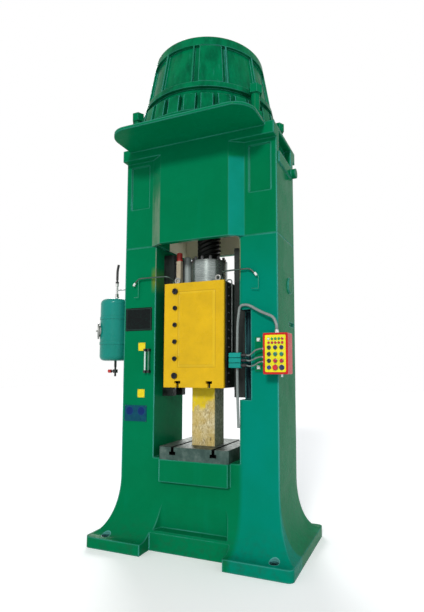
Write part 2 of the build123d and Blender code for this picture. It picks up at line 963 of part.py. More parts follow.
# Screws down the left side of the plate, the first and last larger
with BuildPart() as plate_bolts:
    for index in range(plate_bolt_count):
        is_end = index in (0, plate_bolt_count - 1)
        head = end_bolt_radius if is_end else plate_bolt_radius
        with BuildSketch(front_plane(front_plate_y)):
            with Locations((plate_bolt_x, plate_bolt_first_z + index * plate_bolt_pitch)):
                Circle(head)
        extrude(amount=plate_bolt_height)
        with BuildSketch(front_plane(front_plate_y - plate_bolt_height)):
            with Locations((plate_bolt_x, plate_bolt_first_z + index * plate_bolt_pitch)):
                RegularPolygon(head * 0.5, 6)
        extrude(amount=-plate_bolt_height / 2, mode=Mode.SUBTRACT)
save(plate_bolts, "plate_bolts")

# Wear strips on the flanks of the ram, and their bolts
strip_low = wing_bottom
strip_high = wing_top
strip_mid = (strip_low + strip_high) / 2
with BuildPart() as wear_strips:
    for side in front_and_back:
        flank = Plane(origin=(side * ram_half_width, 0, 0), x_dir=(0, 1, 0), z_dir=(side, 0, 0))
        with BuildSketch(flank):
            with Locations((side_strip_y, side * strip_mid)):
                Rectangle(2 * side_strip_half_width, strip_high - strip_low)
        extrude(amount=side_strip_thickness)
save(wear_strips, "wear_strips")
with BuildPart() as strip_bolts:
    strip_face = ram_half_width + side_strip_thickness
    strip_pitch = (strip_high - strip_low) / strip_bolt_count
    for side in front_and_back:
        flank = Plane(origin=(side * strip_face, 0, 0), x_dir=(0, 1, 0), z_dir=(side, 0, 0))
        with BuildSketch(flank):
            with Locations((side_strip_y, side * strip_mid)):
                with GridLocations(strip_pitch, strip_pitch, 1, strip_bolt_count):
                    Circle(strip_bolt_radius)
        extrude(amount=strip_bolt_height)
save(strip_bolts, "strip_bolts")

# Bronze nut in the ram, with its ring of bolts
with BuildPart() as ram_nut:
    with BuildSketch(Plane.XY.offset(nut_body_bottom)):
        Circle(bush_outer - running_gap)
    extrude(amount=ram_top - nut_body_bottom)
    with BuildSketch(Plane.XY.offset(ram_top)):
        Circle(nut_flange_radius)
    extrude(amount=nut_flange_top - ram_top)
    with BuildSketch(Plane.XY.offset(nut_body_bottom)):
        Circle(screw_radius + running_gap)
    extrude(amount=nut_flange_top - nut_body_bottom, mode=Mode.SUBTRACT)
save(ram_nut, "ram_nut")
with BuildPart() as nut_bolts:
    with BuildSketch(Plane.XY.offset(nut_flange_top)):
        with PolarLocations(nut_bolt_circle, nut_bolt_count):
            Circle(nut_bolt_radius)
    extrude(amount=nut_bolt_height)
save(nut_bolts, "nut_bolts")

# Lifting eyes on top of the ram
with BuildPart() as lifting_eyes:
    for eye_x in (eye_left_x, eye_right_x):
        with BuildSketch(Plane.XY.offset(ram_top)):
            with Locations((eye_x, eye_y)):
                Circle(eye_shank)
        extrude(amount=eye_rise - eye_radius)
        eye_plane = Plane(
            origin=(eye_x, eye_y, ram_top + eye_rise), x_dir=(1, 0, 0), z_dir=(0, -1, 0)
        )
        with BuildSketch(eye_plane):
            Circle(eye_radius + eye_wire)
            Circle(eye_radius - eye_wire, mode=Mode.SUBTRACT)
        extrude(amount=eye_wire, both=True)
save(lifting_eyes, "lifting_eyes")

# Striker posts with stacked buffer rings, and a plain steel rod, standing on the ram
with BuildPart() as striker_posts:
    for side in front_and_back:
        with BuildSketch(Plane.XY.offset(ram_top)):
            with Locations((-side * post_x, -side * post_y)):
                Rectangle(2 * striker_radius, 2 * striker_radius)
        extrude(amount=striker_height)
        for index in range(buffer_count):
            buffer_z = ram_top + striker_height + index * buffer_pitch
            with BuildSketch(Plane.XY.offset(buffer_z)):
                with Locations((-side * post_x, -side * post_y)):
                    Circle(buffer_radius)
            extrude(amount=buffer_height)
            with BuildSketch(Plane.XY.offset(buffer_z)):
                with Locations((-side * post_x, -side * post_y)):
                    Circle(buffer_core_radius)
            extrude(amount=buffer_pitch)
    with BuildSketch(Plane.XY.offset(ram_top)):
        with Locations((guide_rod_x, guide_rod_y)):
            Circle(guide_rod_radius)
    extrude(amount=guide_rod_height)
    rod_rim = striker_posts.faces().filter_by(Plane.XY).filter_by(
        lambda f: abs(f.area - math.pi * guide_rod_radius**2) < 1
    )
    chamfer(rod_rim.sort_by(Axis.Z)[-1].edges(), guide_rod_edge)
save(striker_posts, "striker_posts")

# Bent arms that reach over the posts from the top of the ram
left_route = [
    (eye_left_x - arm_offset, eye_y, ram_top),
    (eye_left_x - arm_offset, eye_y, 2362),
    (eye_left_x - 66, arm_y, arm_high - 2),
    (-420, arm_y - 3, arm_high),
    (-588, arm_y, arm_high),
    (-632, arm_y, 2352),
]
right_route = [
    (eye_right_x + arm_offset, eye_y, ram_top),
    (eye_right_x + arm_offset, eye_y, 2366),
    (eye_right_x + 66, arm_y, arm_high),
    (410, arm_y - 3, arm_high + 4),
    (523, arm_y, arm_high + 6),
    (567, arm_y, 2358),
]
left_arm = tube("trip arm left", left_route, arm_radius)
right_arm = tube("trip arm right", right_route, arm_radius)
with BuildPart() as trip_arms:
    add(left_arm.part)
    add(right_arm.part)
save(trip_arms, "trip_arms")

# Grease line down the right flank of the ram
grease_x = ram_half_width + grease_radius + seat_gap
grease_route = [
    (ram_half_width - 40, grease_y, ram_top),
    (ram_half_width - 40, grease_y, ram_top + 34),
    (grease_x, grease_y, ram_top + 34),
    (grease_x, grease_y, ram_top - 30),
    (grease_x, grease_y - 1, ram_top - 150),
    (grease_x, grease_y, ram_top - 310),
    (grease_x, grease_y - 1, ram_top - 470),
    (grease_x, grease_y, ram_top - 620),
]
grease_line = tube("grease line", grease_route, grease_radius)
save(grease_line, "grease_line")

# Plates on the left post: the nameplate, two square plates and a wide one below
with BuildPart() as nameplate:
    with BuildSketch(front_plane(post_face_y)):
        with Locations(((nameplate_left + nameplate_right) / 2, (nameplate_bottom + nameplate_top) / 2)):
            Rectangle(nameplate_right - nameplate_left, nameplate_top - nameplate_bottom)
    extrude(amount=plate_sheet)
save(nameplate, "nameplate")
with BuildPart() as info_plates:
    with BuildSketch(front_plane(post_face_y)):
        for row in sign_rows:
            with Locations((sign_x, row)):
                Rectangle(sign_side, sign_side)
        with Locations(
            ((disc_plate_left + disc_plate_right) / 2, (disc_plate_bottom + disc_plate_top) / 2)
        ):
            Rectangle(disc_plate_right - disc_plate_left, disc_plate_top - disc_plate_bottom)
    extrude(amount=plate_sheet)
save(info_plates, "info_plates")

# Two sight tubes, each held between a pair of end blocks
with BuildPart() as sight_gauges:
    for x in sight_x:
        with BuildSketch(Plane.XY.offset(sight_bottom)):
            with Locations((x, post_face_y - sight_standoff)):
                Circle(sight_radius)
        extrude(amount=sight_top - sight_bottom)
        for z in (sight_bottom + sight_end_height / 2, sight_top - sight_end_height / 2):
            with BuildSketch(front_plane(post_face_y)):
                with Locations((x, z)):
                    Rectangle(2 * sight_end_half, sight_end_height)
            extrude(amount=sight_standoff + sight_end_half)
save(sight_gauges, "sight_gauges")

# Air tank: a hollow shell with rounded ends and a small hole at the inlet and the drain
with BuildPart() as tank_space:
    with BuildSketch(Plane.XY.offset(tank_bottom + tank_wall)):
        with Locations((tank_x, tank_y)):
            Circle(tank_radius - tank_wall)
    extrude(amount=tank_height - 2 * tank_wall)
    fillet(tank_space.edges().filter_by(GeomType.CIRCLE), tank_dome - tank_wall)
with BuildPart() as air_tank:
    with BuildSketch(Plane.XY.offset(tank_bottom)):
        with Locations((tank_x, tank_y)):
            Circle(tank_radius)
    extrude(amount=tank_height)
    fillet(air_tank.edges().filter_by(GeomType.CIRCLE), tank_dome)
    add(tank_space.part, mode=Mode.SUBTRACT)
    with BuildSketch(Plane.XY.offset(tank_bottom)):
        with Locations((tank_x, tank_y)):
            Circle(tank_hole_radius)
    extrude(amount=tank_height, mode=Mode.SUBTRACT)
save(air_tank, "air_tank")

# Bracket between the tank and the post, and the two straps round the tank
with BuildPart() as tank_mount:
    tank_mid = (strap_low + strap_high) / 2
    saddle_left = tank_x + tank_radius * 0.8
    with BuildSketch(Plane.XY.offset(tank_mid - tank_bracket_height / 2)):
        with Locations(((saddle_left - post_half_width) / 2, tank_y)):
            Rectangle(-post_half_width - saddle_left, 2 * tank_bracket_half_depth)
        with Locations((tank_x, tank_y)):
            Circle(tank_radius + seat_gap, mode=Mode.SUBTRACT)
    extrude(amount=tank_bracket_height)
    for strap_z in (strap_low, strap_high):
        with BuildSketch(Plane.XY.offset(strap_z - strap_width / 2)):
            with Locations((tank_x, tank_y)):
                Circle(tank_radius + seat_gap + strap_thickness)
                Circle(tank_radius + seat_gap, mode=Mode.SUBTRACT)
        extrude(amount=strap_width)
save(tank_mount, "tank_mount")

# Hand-hole cover on the outer side of the tank, with its clamping screw
hatch_a = math.radians(hatch_turn)
hatch_out = Vector(math.cos(hatch_a), math.sin(hatch_a), 0)
hatch_base = Plane(origin=(tank_x, tank_y, (strap_low + strap_high) / 2), z_dir=hatch_out)
with BuildPart() as tank_hatch:
    with BuildSketch(hatch_base.offset(tank_radius - 2 * hatch_thickness)):
        Circle(hatch_neck_radius)
    extrude(amount=2 * hatch_thickness + hatch_stand_off + 1)
    with BuildSketch(hatch_base.offset(tank_radius + hatch_stand_off)):
        Circle(hatch_radius)
    extrude(amount=hatch_thickness)
    with BuildSketch(hatch_base.offset(tank_radius + hatch_stand_off + hatch_thickness)):
        Circle(hatch_screw_radius)
    extrude(amount=hatch_screw_length)
    with BuildSketch(Plane.XY.offset(tank_bottom)):
        with Locations((tank_x, tank_y)):
            Circle(tank_radius + seat_gap)
    extrude(amount=tank_height, mode=Mode.SUBTRACT)
save(tank_hatch, "tank_hatch")

# Inlet with its boss, hexagon, stem, joint and the branch to the post
inlet_root = tank_top
hex_bottom = inlet_root + inlet_boss_height
with BuildPart() as tank_inlet:
    with BuildSketch(Plane.XY.offset(inlet_root)):
        with Locations((tank_x, tank_y)):
            Circle(2 * inlet_radius)
    extrude(amount=inlet_boss_height)
    with BuildSketch(Plane.XY.offset(hex_bottom)):
        with Locations((tank_x, tank_y)):
            RegularPolygon(1.7 * inlet_radius, 6)
    extrude(amount=inlet_hex_height)
    with BuildSketch(Plane.XY.offset(hex_bottom)):
        with Locations((tank_x, tank_y)):
            Circle(inlet_radius)
    extrude(amount=lever_z - hex_bottom)
    with BuildSketch(Plane.XY.offset(lever_z - joint_height)):
        with Locations((tank_x, tank_y)):
            Circle(joint_radius)
    extrude(amount=joint_height)
    with BuildSketch(Plane.YZ.offset(tank_x)):
        with Locations((tank_y, branch_z)):
            Circle(branch_radius)
    extrude(amount=-post_half_width - seat_gap - tank_x)
save(tank_inlet, "tank_inlet")

# Lever of the inlet valve: a hub, a neck and an upright grip with a bent end
grip_z = lever_z + seat_gap + lever_hub_height + lever_neck_height
lever_route = [
    (tank_x, tank_y, grip_z),
    (tank_x, tank_y, grip_z + 100),
    (tank_x + 14, tank_y, grip_z + 158),
]
lever_grip = tube("lever grip", lever_route, lever_grip_radius)
with BuildPart() as valve_lever:
    with BuildSketch(Plane.XY.offset(lever_z + seat_gap)):
        with Locations((tank_x, tank_y)):
            Circle(lever_hub_radius)
    extrude(amount=lever_hub_height)
    with BuildSketch(Plane.XY.offset(lever_z + seat_gap + lever_hub_height)):
        with Locations((tank_x, tank_y)):
            Circle(lever_grip_radius * 0.6)
    extrude(amount=lever_neck_height)
    add(lever_grip.part)
save(valve_lever, "valve_lever")

# Drain under the tank with its cock
drain_low = tank_bottom - drain_height
cock_z = drain_low + drain_block_half
with BuildPart() as drain_valve:
    with BuildSketch(Plane.XY.offset(drain_low - 2 * drain_block_half)):
        with Locations((tank_x, tank_y)):
            Circle(drain_radius * 0.8)
    extrude(amount=drain_height + 2 * drain_block_half)
    with BuildSketch(Plane.XY.offset(tank_bottom - drain_height / 2)):
        with Locations((tank_x, tank_y)):
            Circle(drain_radius)
    extrude(amount=drain_height / 2)
    with BuildSketch(Plane.XY.offset(drain_low)):
        with Locations((tank_x, tank_y)):
            Rectangle(2 * drain_block_half, 2 * drain_block_half)
    extrude(amount=2 * drain_block_half)
    with BuildSketch(Plane.YZ.offset(tank_x - drain_block_half)):
        with Locations((tank_y, cock_z)):
            Circle(drain_radius * 0.6)
    extrude(amount=-drain_axle_length)
save(drain_valve, "drain_valve")
with BuildPart() as drain_knob:
    with BuildSketch(Plane.YZ.offset(tank_x - drain_block_half - drain_axle_length - seat_gap)):
        with Locations((tank_y, cock_z)):
            Circle(drain_knob_radius)
    extrude(amount=-drain_knob_length)
save(drain_knob, "drain_knob")

# Control box: bracket, shell and glands
box_mid_x = (box_left + box_right) / 2
box_mid_z = (box_bottom + box_top) / 2
box_width = box_right - box_left
box_height = box_top - box_bottom
bracket_right = box_right - bracket_inset
with BuildPart() as box_bracket:
    with BuildSketch(front_plane(post_face_y)):
        with Locations(((bracket_left + bracket_right) / 2, box_mid_z)):
            Rectangle(bracket_right - bracket_left, box_height - 2 * bracket_inset)
    extrude(amount=bracket_thickness)
    with BuildSketch(front_plane(post_face_y - bracket_thickness)):
        for row in bracket_bolt_rows:
            with Locations((bracket_bolt_x, row)):
                Circle(bracket_bolt_radius)
    extrude(amount=bracket_bolt_height)
save(box_bracket, "box_bracket")
with BuildPart() as box_shell:
    with BuildSketch(front_plane(box_back_y)):
        with Locations((box_mid_x, box_mid_z)):
            RectangleRounded(box_width, box_height, box_corner_radius)
    extrude(amount=box_depth)
    with BuildSketch(front_plane(box_back_y - box_wall)):
        with Locations((box_mid_x, box_mid_z)):
            Rectangle(box_width - 2 * box_wall, box_height - 2 * box_wall)
    extrude(amount=box_depth, mode=Mode.SUBTRACT)
save(box_shell, "box_shell")
with BuildPart() as box_glands:
    with BuildSketch(Plane.XY.offset(box_top)):
        with Locations((box_gland_x, box_gland_y)):
            RegularPolygon(box_gland_radius + 4, 6)
    extrude(amount=box_gland_height / 2)
    with BuildSketch(Plane.XY.offset(box_top + box_gland_height / 2)):
        with Locations((box_gland_x, box_gland_y)):
            Circle(box_gland_radius)
    extrude(amount=box_gland_height / 2)
    with BuildSketch(Plane.XY.offset(box_bottom)):
        with Locations((low_gland_x, box_gland_y)):
            Circle(low_gland_radius)
    extrude(amount=-low_gland_length)
    with BuildSketch(Plane.YZ.offset(box_left)):
        for row in side_gland_rows:
            with Locations((gland_y, row)):
                Circle(side_gland_radius)
    extrude(amount=-side_gland_length)
save(box_glands, "box_glands")

# Conduit from the inner edge of the post to the box
conduit_end_z = box_top + box_gland_height
conduit_route = [
    (414, conduit_y, 1058),
    (405, conduit_y, 1330),
    (403, conduit_y - 1, 1640),
    (406, conduit_y, 1930),
    (428, conduit_y - 2, 2092),
    (506, conduit_y - 10, 2092),
    (620, conduit_y - 28, 2026),
    (742, conduit_y - 52, 1974),
    (box_gland_x, box_gland_y, 1905),
    (box_gland_x, box_gland_y, conduit_end_z),
]
box_conduit = tube("box conduit", conduit_route, conduit_radius)
save(box_conduit, "box_conduit")

# Block of stacked connectors, on a post that stands on the floor of the pocket
stack_mid = connector_bottom + connector_pitch * (connector_count - 1) / 2 + connector_height / 2
connector_mid = (connector_left + connector_right) / 2
with BuildPart() as connector_block:
    with BuildSketch(front_plane(connector_back_y)):
        with Locations((connector_mid, stack_mid)):
            Rectangle(connector_right - connector_left, connector_pitch * connector_count)
    extrude(amount=connector_depth * 0.4)
    for index in range(connector_count):
        row = connector_bottom + connector_height / 2 + index * connector_pitch
        with BuildSketch(front_plane(connector_back_y)):
            with Locations((connector_mid, row)):
                Rectangle(connector_right - connector_left, connector_height)
        extrude(amount=connector_depth)
    with BuildSketch(front_plane(post_face_y + pocket_depth)):
        with Locations((connector_right - connector_post / 2, stack_mid)):
            Rectangle(connector_post, 2 * connector_post)
    extrude(amount=post_face_y + pocket_depth - connector_back_y)
save(connector_block, "connector_block")
plug_y = connector_back_y - connector_depth / 2
plug_rows = [connector_bottom + connector_height / 2 + i * connector_pitch for i in range(connector_count)]
plug_x = connector_right + plug_length
gland_x = box_left - side_gland_length
top_cable = [
    (plug_x, plug_y, plug_rows[2]),
    (plug_x + 24, plug_y, plug_rows[2] - 4),
    (plug_x + 62, plug_y - 8, plug_rows[2] + 22),
    (plug_x + 84, plug_y - 20, 1702),
    (gland_x - 26, gland_y, side_gland_rows[2]),
    (gland_x, gland_y, side_gland_rows[2]),
]
middle_cable = [
    (plug_x, plug_y, plug_rows[1]),
    (plug_x + 26, plug_y, plug_rows[1] - 6),
    (plug_x + 66, plug_y - 10, plug_rows[1] + 6),
    (plug_x + 96, plug_y - 22, 1640),
    (gland_x - 24, gland_y, side_gland_rows[1]),
    (gland_x, gland_y, side_gland_rows[1]),
]
low_cable = [
    (plug_x, plug_y, plug_rows[0]),
    (plug_x + 30, plug_y, plug_rows[0] - 8),
    (plug_x + 76, plug_y - 10, plug_rows[0] + 2),
    (plug_x + 106, plug_y - 24, 1598),
    (gland_x - 20, gland_y, side_gland_rows[0]),
    (gland_x, gland_y, side_gland_rows[0]),
]
cable_tubes = [
    tube("top cable", top_cable, cable_radius),
    tube("middle cable", middle_cable, cable_radius),
    tube("low cable", low_cable, cable_radius),
]
with BuildPart() as signal_cables:
    for row in plug_rows:
        with BuildSketch(Plane.YZ.offset(connector_right)):
            with Locations((plug_y, row)):
                Circle(plug_radius)
        extrude(amount=plug_length)
    for cable in cable_tubes:
        add(cable.part)
save(signal_cables, "signal_cables")

# Hinged front of the box, its yellow panel and the lamps on it
stop_place = (button_columns[1], button_rows[3])
selector_place = (button_columns[2], button_rows[3])
plain_places = [
    (x, z) for z in button_rows for x in button_columns if (x, z) not in (stop_place, selector_place)
]
panel_front = box_front_y - panel_thickness
stem_reach = button_hole_gap + button_stem
with BuildPart() as box_door:
    with BuildSketch(front_plane(door_back_y - seat_gap)):
        with Locations((box_mid_x, box_mid_z)):
            RectangleRounded(box_width, box_height, box_corner_radius)
    extrude(amount=door_depth - seat_gap)
    with BuildSketch(front_plane(door_back_y)):
        for place in plain_places + [stop_place, selector_place]:
            with Locations(place):
                Circle(stem_reach)
    extrude(amount=door_depth, mode=Mode.SUBTRACT)
save(box_door, "box_door")
with BuildPart() as button_panel:
    with BuildSketch(front_plane(box_front_y)):
        with Locations((box_mid_x, box_mid_z)):
            RectangleRounded(box_width - 2 * panel_margin, box_height - 2 * panel_margin, 10)
        for place in plain_places + [stop_place, selector_place]:
            with Locations(place):
                Circle(stem_reach, mode=Mode.SUBTRACT)
    extrude(amount=panel_thickness)
save(button_panel, "button_panel")
with BuildPart() as pilot_lamps:
    for row in lamp_rows:
        for index in range(lamp_count):
            with BuildSketch(front_plane(panel_front)):
                with Locations((lamp_first_x + index * lamp_pitch, row)):
                    Circle(lamp_radius)
            extrude(amount=lamp_rise)
save(pilot_lamps, "pilot_lamps")


def control(label, place, head_radius, travel):
    """A pressed or turned control: a head proud of the panel by its travel, and a stem."""
    with BuildPart() as made:
        with BuildSketch(front_plane(panel_front - travel)):
            with Locations(place):
                Circle(head_radius)
        extrude(amount=button_rise)
        with BuildSketch(front_plane(panel_front - travel)):
            with Locations(place):
                Circle(button_stem)
        extrude(amount=-(door_depth + travel - 2))
    save(made, label)


for index, place in enumerate(plain_places):
    control("push_button_" + str(index + 1), place, button_radius, press_travel + travel_spare)
control("stop_button", stop_place, stop_radius, stop_travel + travel_spare)
with BuildPart() as selector_knob:
    with BuildSketch(front_plane(panel_front - seat_gap)):
        with Locations(selector_place):
            Circle(selector_radius)
    extrude(amount=selector_base)
    with BuildSketch(front_plane(panel_front - seat_gap - selector_base)):
        with Locations(selector_place):
            SlotOverall(1.8 * selector_radius, selector_grip_width, rotation=90)
    extrude(amount=selector_grip_height)
    with BuildSketch(front_plane(panel_front - seat_gap)):
        with Locations(selector_place):
            Circle(button_stem)
    extrude(amount=-(door_depth - 2))
save(selector_knob, "selector_knob")
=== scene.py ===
import math

import bmesh
import bpy
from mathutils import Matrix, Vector


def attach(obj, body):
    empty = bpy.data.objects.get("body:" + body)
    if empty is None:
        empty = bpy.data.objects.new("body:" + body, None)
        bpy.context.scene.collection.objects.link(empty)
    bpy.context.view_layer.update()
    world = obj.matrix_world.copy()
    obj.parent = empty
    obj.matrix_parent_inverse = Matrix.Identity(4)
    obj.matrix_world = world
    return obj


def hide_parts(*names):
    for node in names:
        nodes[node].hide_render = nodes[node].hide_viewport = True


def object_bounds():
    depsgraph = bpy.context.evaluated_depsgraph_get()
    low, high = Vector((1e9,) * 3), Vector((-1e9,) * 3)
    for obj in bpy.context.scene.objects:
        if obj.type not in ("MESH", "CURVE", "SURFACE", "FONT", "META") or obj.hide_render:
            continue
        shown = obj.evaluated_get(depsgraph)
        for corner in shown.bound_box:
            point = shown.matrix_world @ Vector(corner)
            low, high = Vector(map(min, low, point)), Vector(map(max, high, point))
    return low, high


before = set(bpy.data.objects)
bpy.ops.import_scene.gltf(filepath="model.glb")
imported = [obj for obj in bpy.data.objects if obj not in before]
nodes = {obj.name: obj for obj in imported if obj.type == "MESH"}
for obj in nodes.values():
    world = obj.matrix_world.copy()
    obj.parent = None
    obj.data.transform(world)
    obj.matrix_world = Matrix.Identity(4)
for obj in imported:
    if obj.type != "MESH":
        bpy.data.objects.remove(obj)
cad_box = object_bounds()

# Camera
YAW, PITCH = math.radians(22.37), math.radians(5.3)
cam_data = bpy.data.cameras.new("camera")
cam = bpy.data.objects.new("camera", cam_data)
bpy.context.scene.collection.objects.link(cam)
cam.location = (1.841, -3.917, 1.538)
cam.rotation_euler = (math.pi / 2 + PITCH, 0.0, YAW)
cam_data.sensor_width = 36.0
cam_data.lens = 27.02
cam_data.shift_x = -0.0314
cam_data.shift_y = 0.0354
cam_data.clip_end = 100.0
bpy.context.scene.camera = cam
bpy.context.scene.view_settings.view_transform = "Standard"


# Node helpers
class Mat:
    """A material under construction."""

    def __init__(self, name, color, rough=0.5, metal=0.0, spec=0.5):
        self.m = bpy.data.materials.new(name)
        self.m.use_nodes = True
        self.nt = self.m.node_tree
        self.b = self.nt.nodes["Principled BSDF"]
        self.put("Base Color", (*color, 1.0))
        self.put("Roughness", rough)
        self.put("Metallic", metal)
        self.put("Specular IOR Level", spec)
        self.m.diffuse_color = (*color, 1.0)

    def put(self, socket, value):
        self.b.inputs[socket].default_value = value

    def node(self, kind, **values):
        n = self.nt.nodes.new(kind)
        for key, value in values.items():
            setattr(n, key, value)
        return n

    def link(self, a, b):
        self.nt.links.new(a, b)

    def coord(self, scale=(1, 1, 1), offset=(0, 0, 0)):
        if not hasattr(self, "tc"):
            self.tc = self.node("ShaderNodeTexCoord")
        n = self.node("ShaderNodeMapping")
        n.inputs["Scale"].default_value = scale
        n.inputs["Location"].default_value = offset
        self.link(self.tc.outputs["Object"], n.inputs["Vector"])
        return n.outputs["Vector"]

    def axis(self, which):
        n = self.node("ShaderNodeSeparateXYZ")
        self.link(self.coord(), n.inputs[0])
        return n.outputs[which]

    def noise(self, scale, detail=3.0, rough=0.5, stretch=(1, 1, 1), offset=(0, 0, 0), distortion=0.0):
        n = self.node("ShaderNodeTexNoise")
        n.inputs["Scale"].default_value = scale
        n.inputs["Detail"].default_value = detail
        n.inputs["Roughness"].default_value = rough
        n.inputs["Distortion"].default_value = distortion
        self.link(self.coord(stretch, offset), n.inputs["Vector"])
        return n.outputs["Fac"]

    def ramp(self, fac, stops, mode="LINEAR"):
        n = self.node("ShaderNodeValToRGB")
        n.color_ramp.interpolation = mode
        els = n.color_ramp.elements
        while len(els) > 1:
            els.remove(els[-1])
        els[0].position = stops[0][0]
        els[0].color = self.rgba(stops[0][1])
        for pos, col in stops[1:]:
            e = els.new(pos)
            e.color = self.rgba(col)
        self.link(fac, n.inputs["Fac"])
        return n.outputs["Color"]

    @staticmethod
    def rgba(c):
        return (c, c, c, 1.0) if isinstance(c, (int, float)) else (*c, 1.0)

    def math(self, op, a, b=None, clamp=False):
        n = self.node("ShaderNodeMath", operation=op, use_clamp=clamp)
        for i, v in enumerate((a, b)):
            if v is None:
                continue
            if isinstance(v, (int, float)):
                n.inputs[i].default_value = v
            else:
                self.link(v, n.inputs[i])
        return n.outputs[0]

    def mix(self, fac, a, b, mode="MIX"):
        n = self.node("ShaderNodeMix", data_type="RGBA", blend_type=mode)
        for i, v in ((0, fac), (6, a), (7, b)):
            if isinstance(v, (int, float)):
                n.inputs[i].default_value = v if i == 0 else (v, v, v, 1.0)
            elif isinstance(v, tuple):
                n.inputs[i].default_value = self.rgba(v)
            else:
                self.link(v, n.inputs[i])
        return n.outputs[2]

    def between(self, value, low, high, soft=0.001):
        """1 where value lies between low and high, with soft edges."""
        a = self.node("ShaderNodeMapRange", clamp=True)
        a.inputs["From Min"].default_value = low - soft
        a.inputs["From Max"].default_value = low + soft
        self.link(value, a.inputs["Value"])
        b = self.node("ShaderNodeMapRange", clamp=True)
        b.inputs["From Min"].default_value = high + soft
        b.inputs["From Max"].default_value = high - soft
        self.link(value, b.inputs["Value"])
        return self.math("MULTIPLY", a.outputs[0], b.outputs[0])

    def fade(self, value, low, high):
        n = self.node("ShaderNodeMapRange", clamp=True)
        n.inputs["From Min"].default_value = low
        n.inputs["From Max"].default_value = high
        self.link(value, n.inputs["Value"])
        return n.outputs[0]

    def bump(self, height, strength, distance, normal=None):
        n = self.node("ShaderNodeBump")
        n.inputs["Strength"].default_value = strength
        n.inputs["Distance"].default_value = distance
        self.link(height, n.inputs["Height"])
        if normal is not None:
            self.link(normal, n.inputs["Normal"])
        return n.outputs["Normal"]

    def bevel(self, radius, samples=6):
        n = self.node("ShaderNodeBevel", samples=samples)
        n.inputs["Radius"].default_value = radius
        return n.outputs["Normal"]

    def edges(self, radius):
        """1 along an upright edge, less along a level one, 0 on the flats."""
        rounded = self.bevel(radius, 8)
        geometry = self.node("ShaderNodeNewGeometry")
        dot = self.node("ShaderNodeVectorMath", operation="DOT_PRODUCT")
        self.link(rounded, dot.inputs[0])
        self.link(geometry.outputs["Normal"], dot.inputs[1])
        turned = self.fade(dot.outputs["Value"], 0.985, 0.84)
        split = self.node("ShaderNodeSeparateXYZ")
        self.link(rounded, split.inputs[0])
        level = self.math("ABSOLUTE", split.outputs[2])
        upright = self.math("SUBTRACT", 1.0, self.math("MULTIPLY", level, 0.9))
        return self.math("MULTIPLY", turned, upright, clamp=True)

    def both(self, a, b):
        """The product of two masks."""
        return self.math("MULTIPLY", a, b)

    def distance(self, a, b):
        """The length of a flat vector from its two components."""
        squares = self.math("ADD", self.math("MULTIPLY", a, a), self.math("MULTIPLY", b, b))
        return self.math("SQRT", squares)

    def out(self, color=None, rough=None, metal=None, normal=None):
        sockets = {"Base Color": color, "Roughness": rough, "Metallic": metal, "Normal": normal}
        for name, v in sockets.items():
            if v is not None:
                self.link(v, self.b.inputs[name])
        return self.m


def use(material, *names):
    material = material.m if isinstance(material, Mat) else material
    for name in names:
        slots = nodes[name].data.materials
        slots.clear()
        slots.append(material)


# Materials
GREEN = (0.0, 0.160, 0.058)
GREEN_LIGHT = (0.0, 0.180, 0.072)
GREEN_DARK = (0.0, 0.105, 0.036)
TEAL = (0.006, 0.200, 0.150)
TEAL_LIGHT = (0.010, 0.245, 0.205)
TEAL_DARK = (0.0, 0.105, 0.070)
PAINTED_RAM_REFLECTION = (0.34, 0.15, 0.008)
PAINTED_EDGE_HIGHLIGHT = (0.10, 0.44, 0.42)
CREAM_PRIMER = (0.93, 0.90, 0.68)

# Places that the materials refer to
POST_TOP = 2.7
ANCHOR_X, ANCHOR_Y = 0.770, 0.465
BOLSTER_SLOT_X = 0.196
ROUND_FIELD_Z = 1.165


def green(name, bevel_radius, inner=None, areas=None, tones=(GREEN, GREEN_LIGHT, GREEN_DARK), spec=0.018):
    """Thick enamel on cast steel, a little wavy, with a pale painted highlight along its edges and dirty
    low down.

    areas lays local tones and painted light over the paint, and inner masks the faces that have primer
    only."""
    base_tone, light_tone, dark_tone = tones
    m = Mat(name, base_tone, 0.3, spec=spec)
    tone = m.ramp(m.noise(1.4, 4.0, 0.55), [(0.32, base_tone), (0.68, light_tone)])
    patch = m.ramp(m.noise(7.0, 5.0, 0.62, offset=(3, 1, 2)), [(0.30, 0.0), (0.62, 1.0)])
    color = m.mix(m.math("MULTIPLY", patch, 0.14), tone, dark_tone)
    if areas is not None:
        color = areas(m, color)
    low = m.fade(m.axis("Z"), 0.30, 0.02)
    grime = m.math("MULTIPLY", low, m.ramp(m.noise(18.0, 6.0, 0.7), [(0.45, 0.0), (0.70, 1.0)]))
    color = m.mix(m.math("MULTIPLY", grime, 0.40), color, (0.02, 0.06, 0.035))
    runs = m.ramp(m.noise(9.0, 3.0, 0.5, stretch=(1, 1, 0.12)), [(0.60, 0.0), (0.75, 1.0)])
    color = m.mix(m.math("MULTIPLY", runs, 0.12), color, (0.0, 0.23, 0.13))
    # Painted highlight: pale teal along the rounded edges, strongest on upright ones, broken up by noise.
    wear_and_sheen = m.noise(2.2, 3.0, 0.6, stretch=(1, 1, 0.5), offset=(5, 5, 5))
    edge_highlight = m.ramp(wear_and_sheen, [(0.36, 0.35), (0.58, 1.0)])
    edge_highlight = m.math("MULTIPLY", m.math("MULTIPLY", m.edges(bevel_radius), edge_highlight), 0.9)
    color = m.mix(edge_highlight, color, PAINTED_EDGE_HIGHLIGHT)
    if inner is not None:
        color = m.mix(inner(m), color, CREAM_PRIMER)
    rough = m.ramp(m.noise(5.0, 4.0, 0.6, offset=(1, 7, 3)), [(0.3, 0.18), (0.7, 0.34)])
    wave = m.bump(m.noise(6.0, 2.0, 0.4), 0.35, 0.010, m.bevel(bevel_radius))
    peel = m.bump(m.noise(260.0, 2.0, 0.5), 0.10, 0.0006, wave)
    return m.out(color, rough, normal=peel)


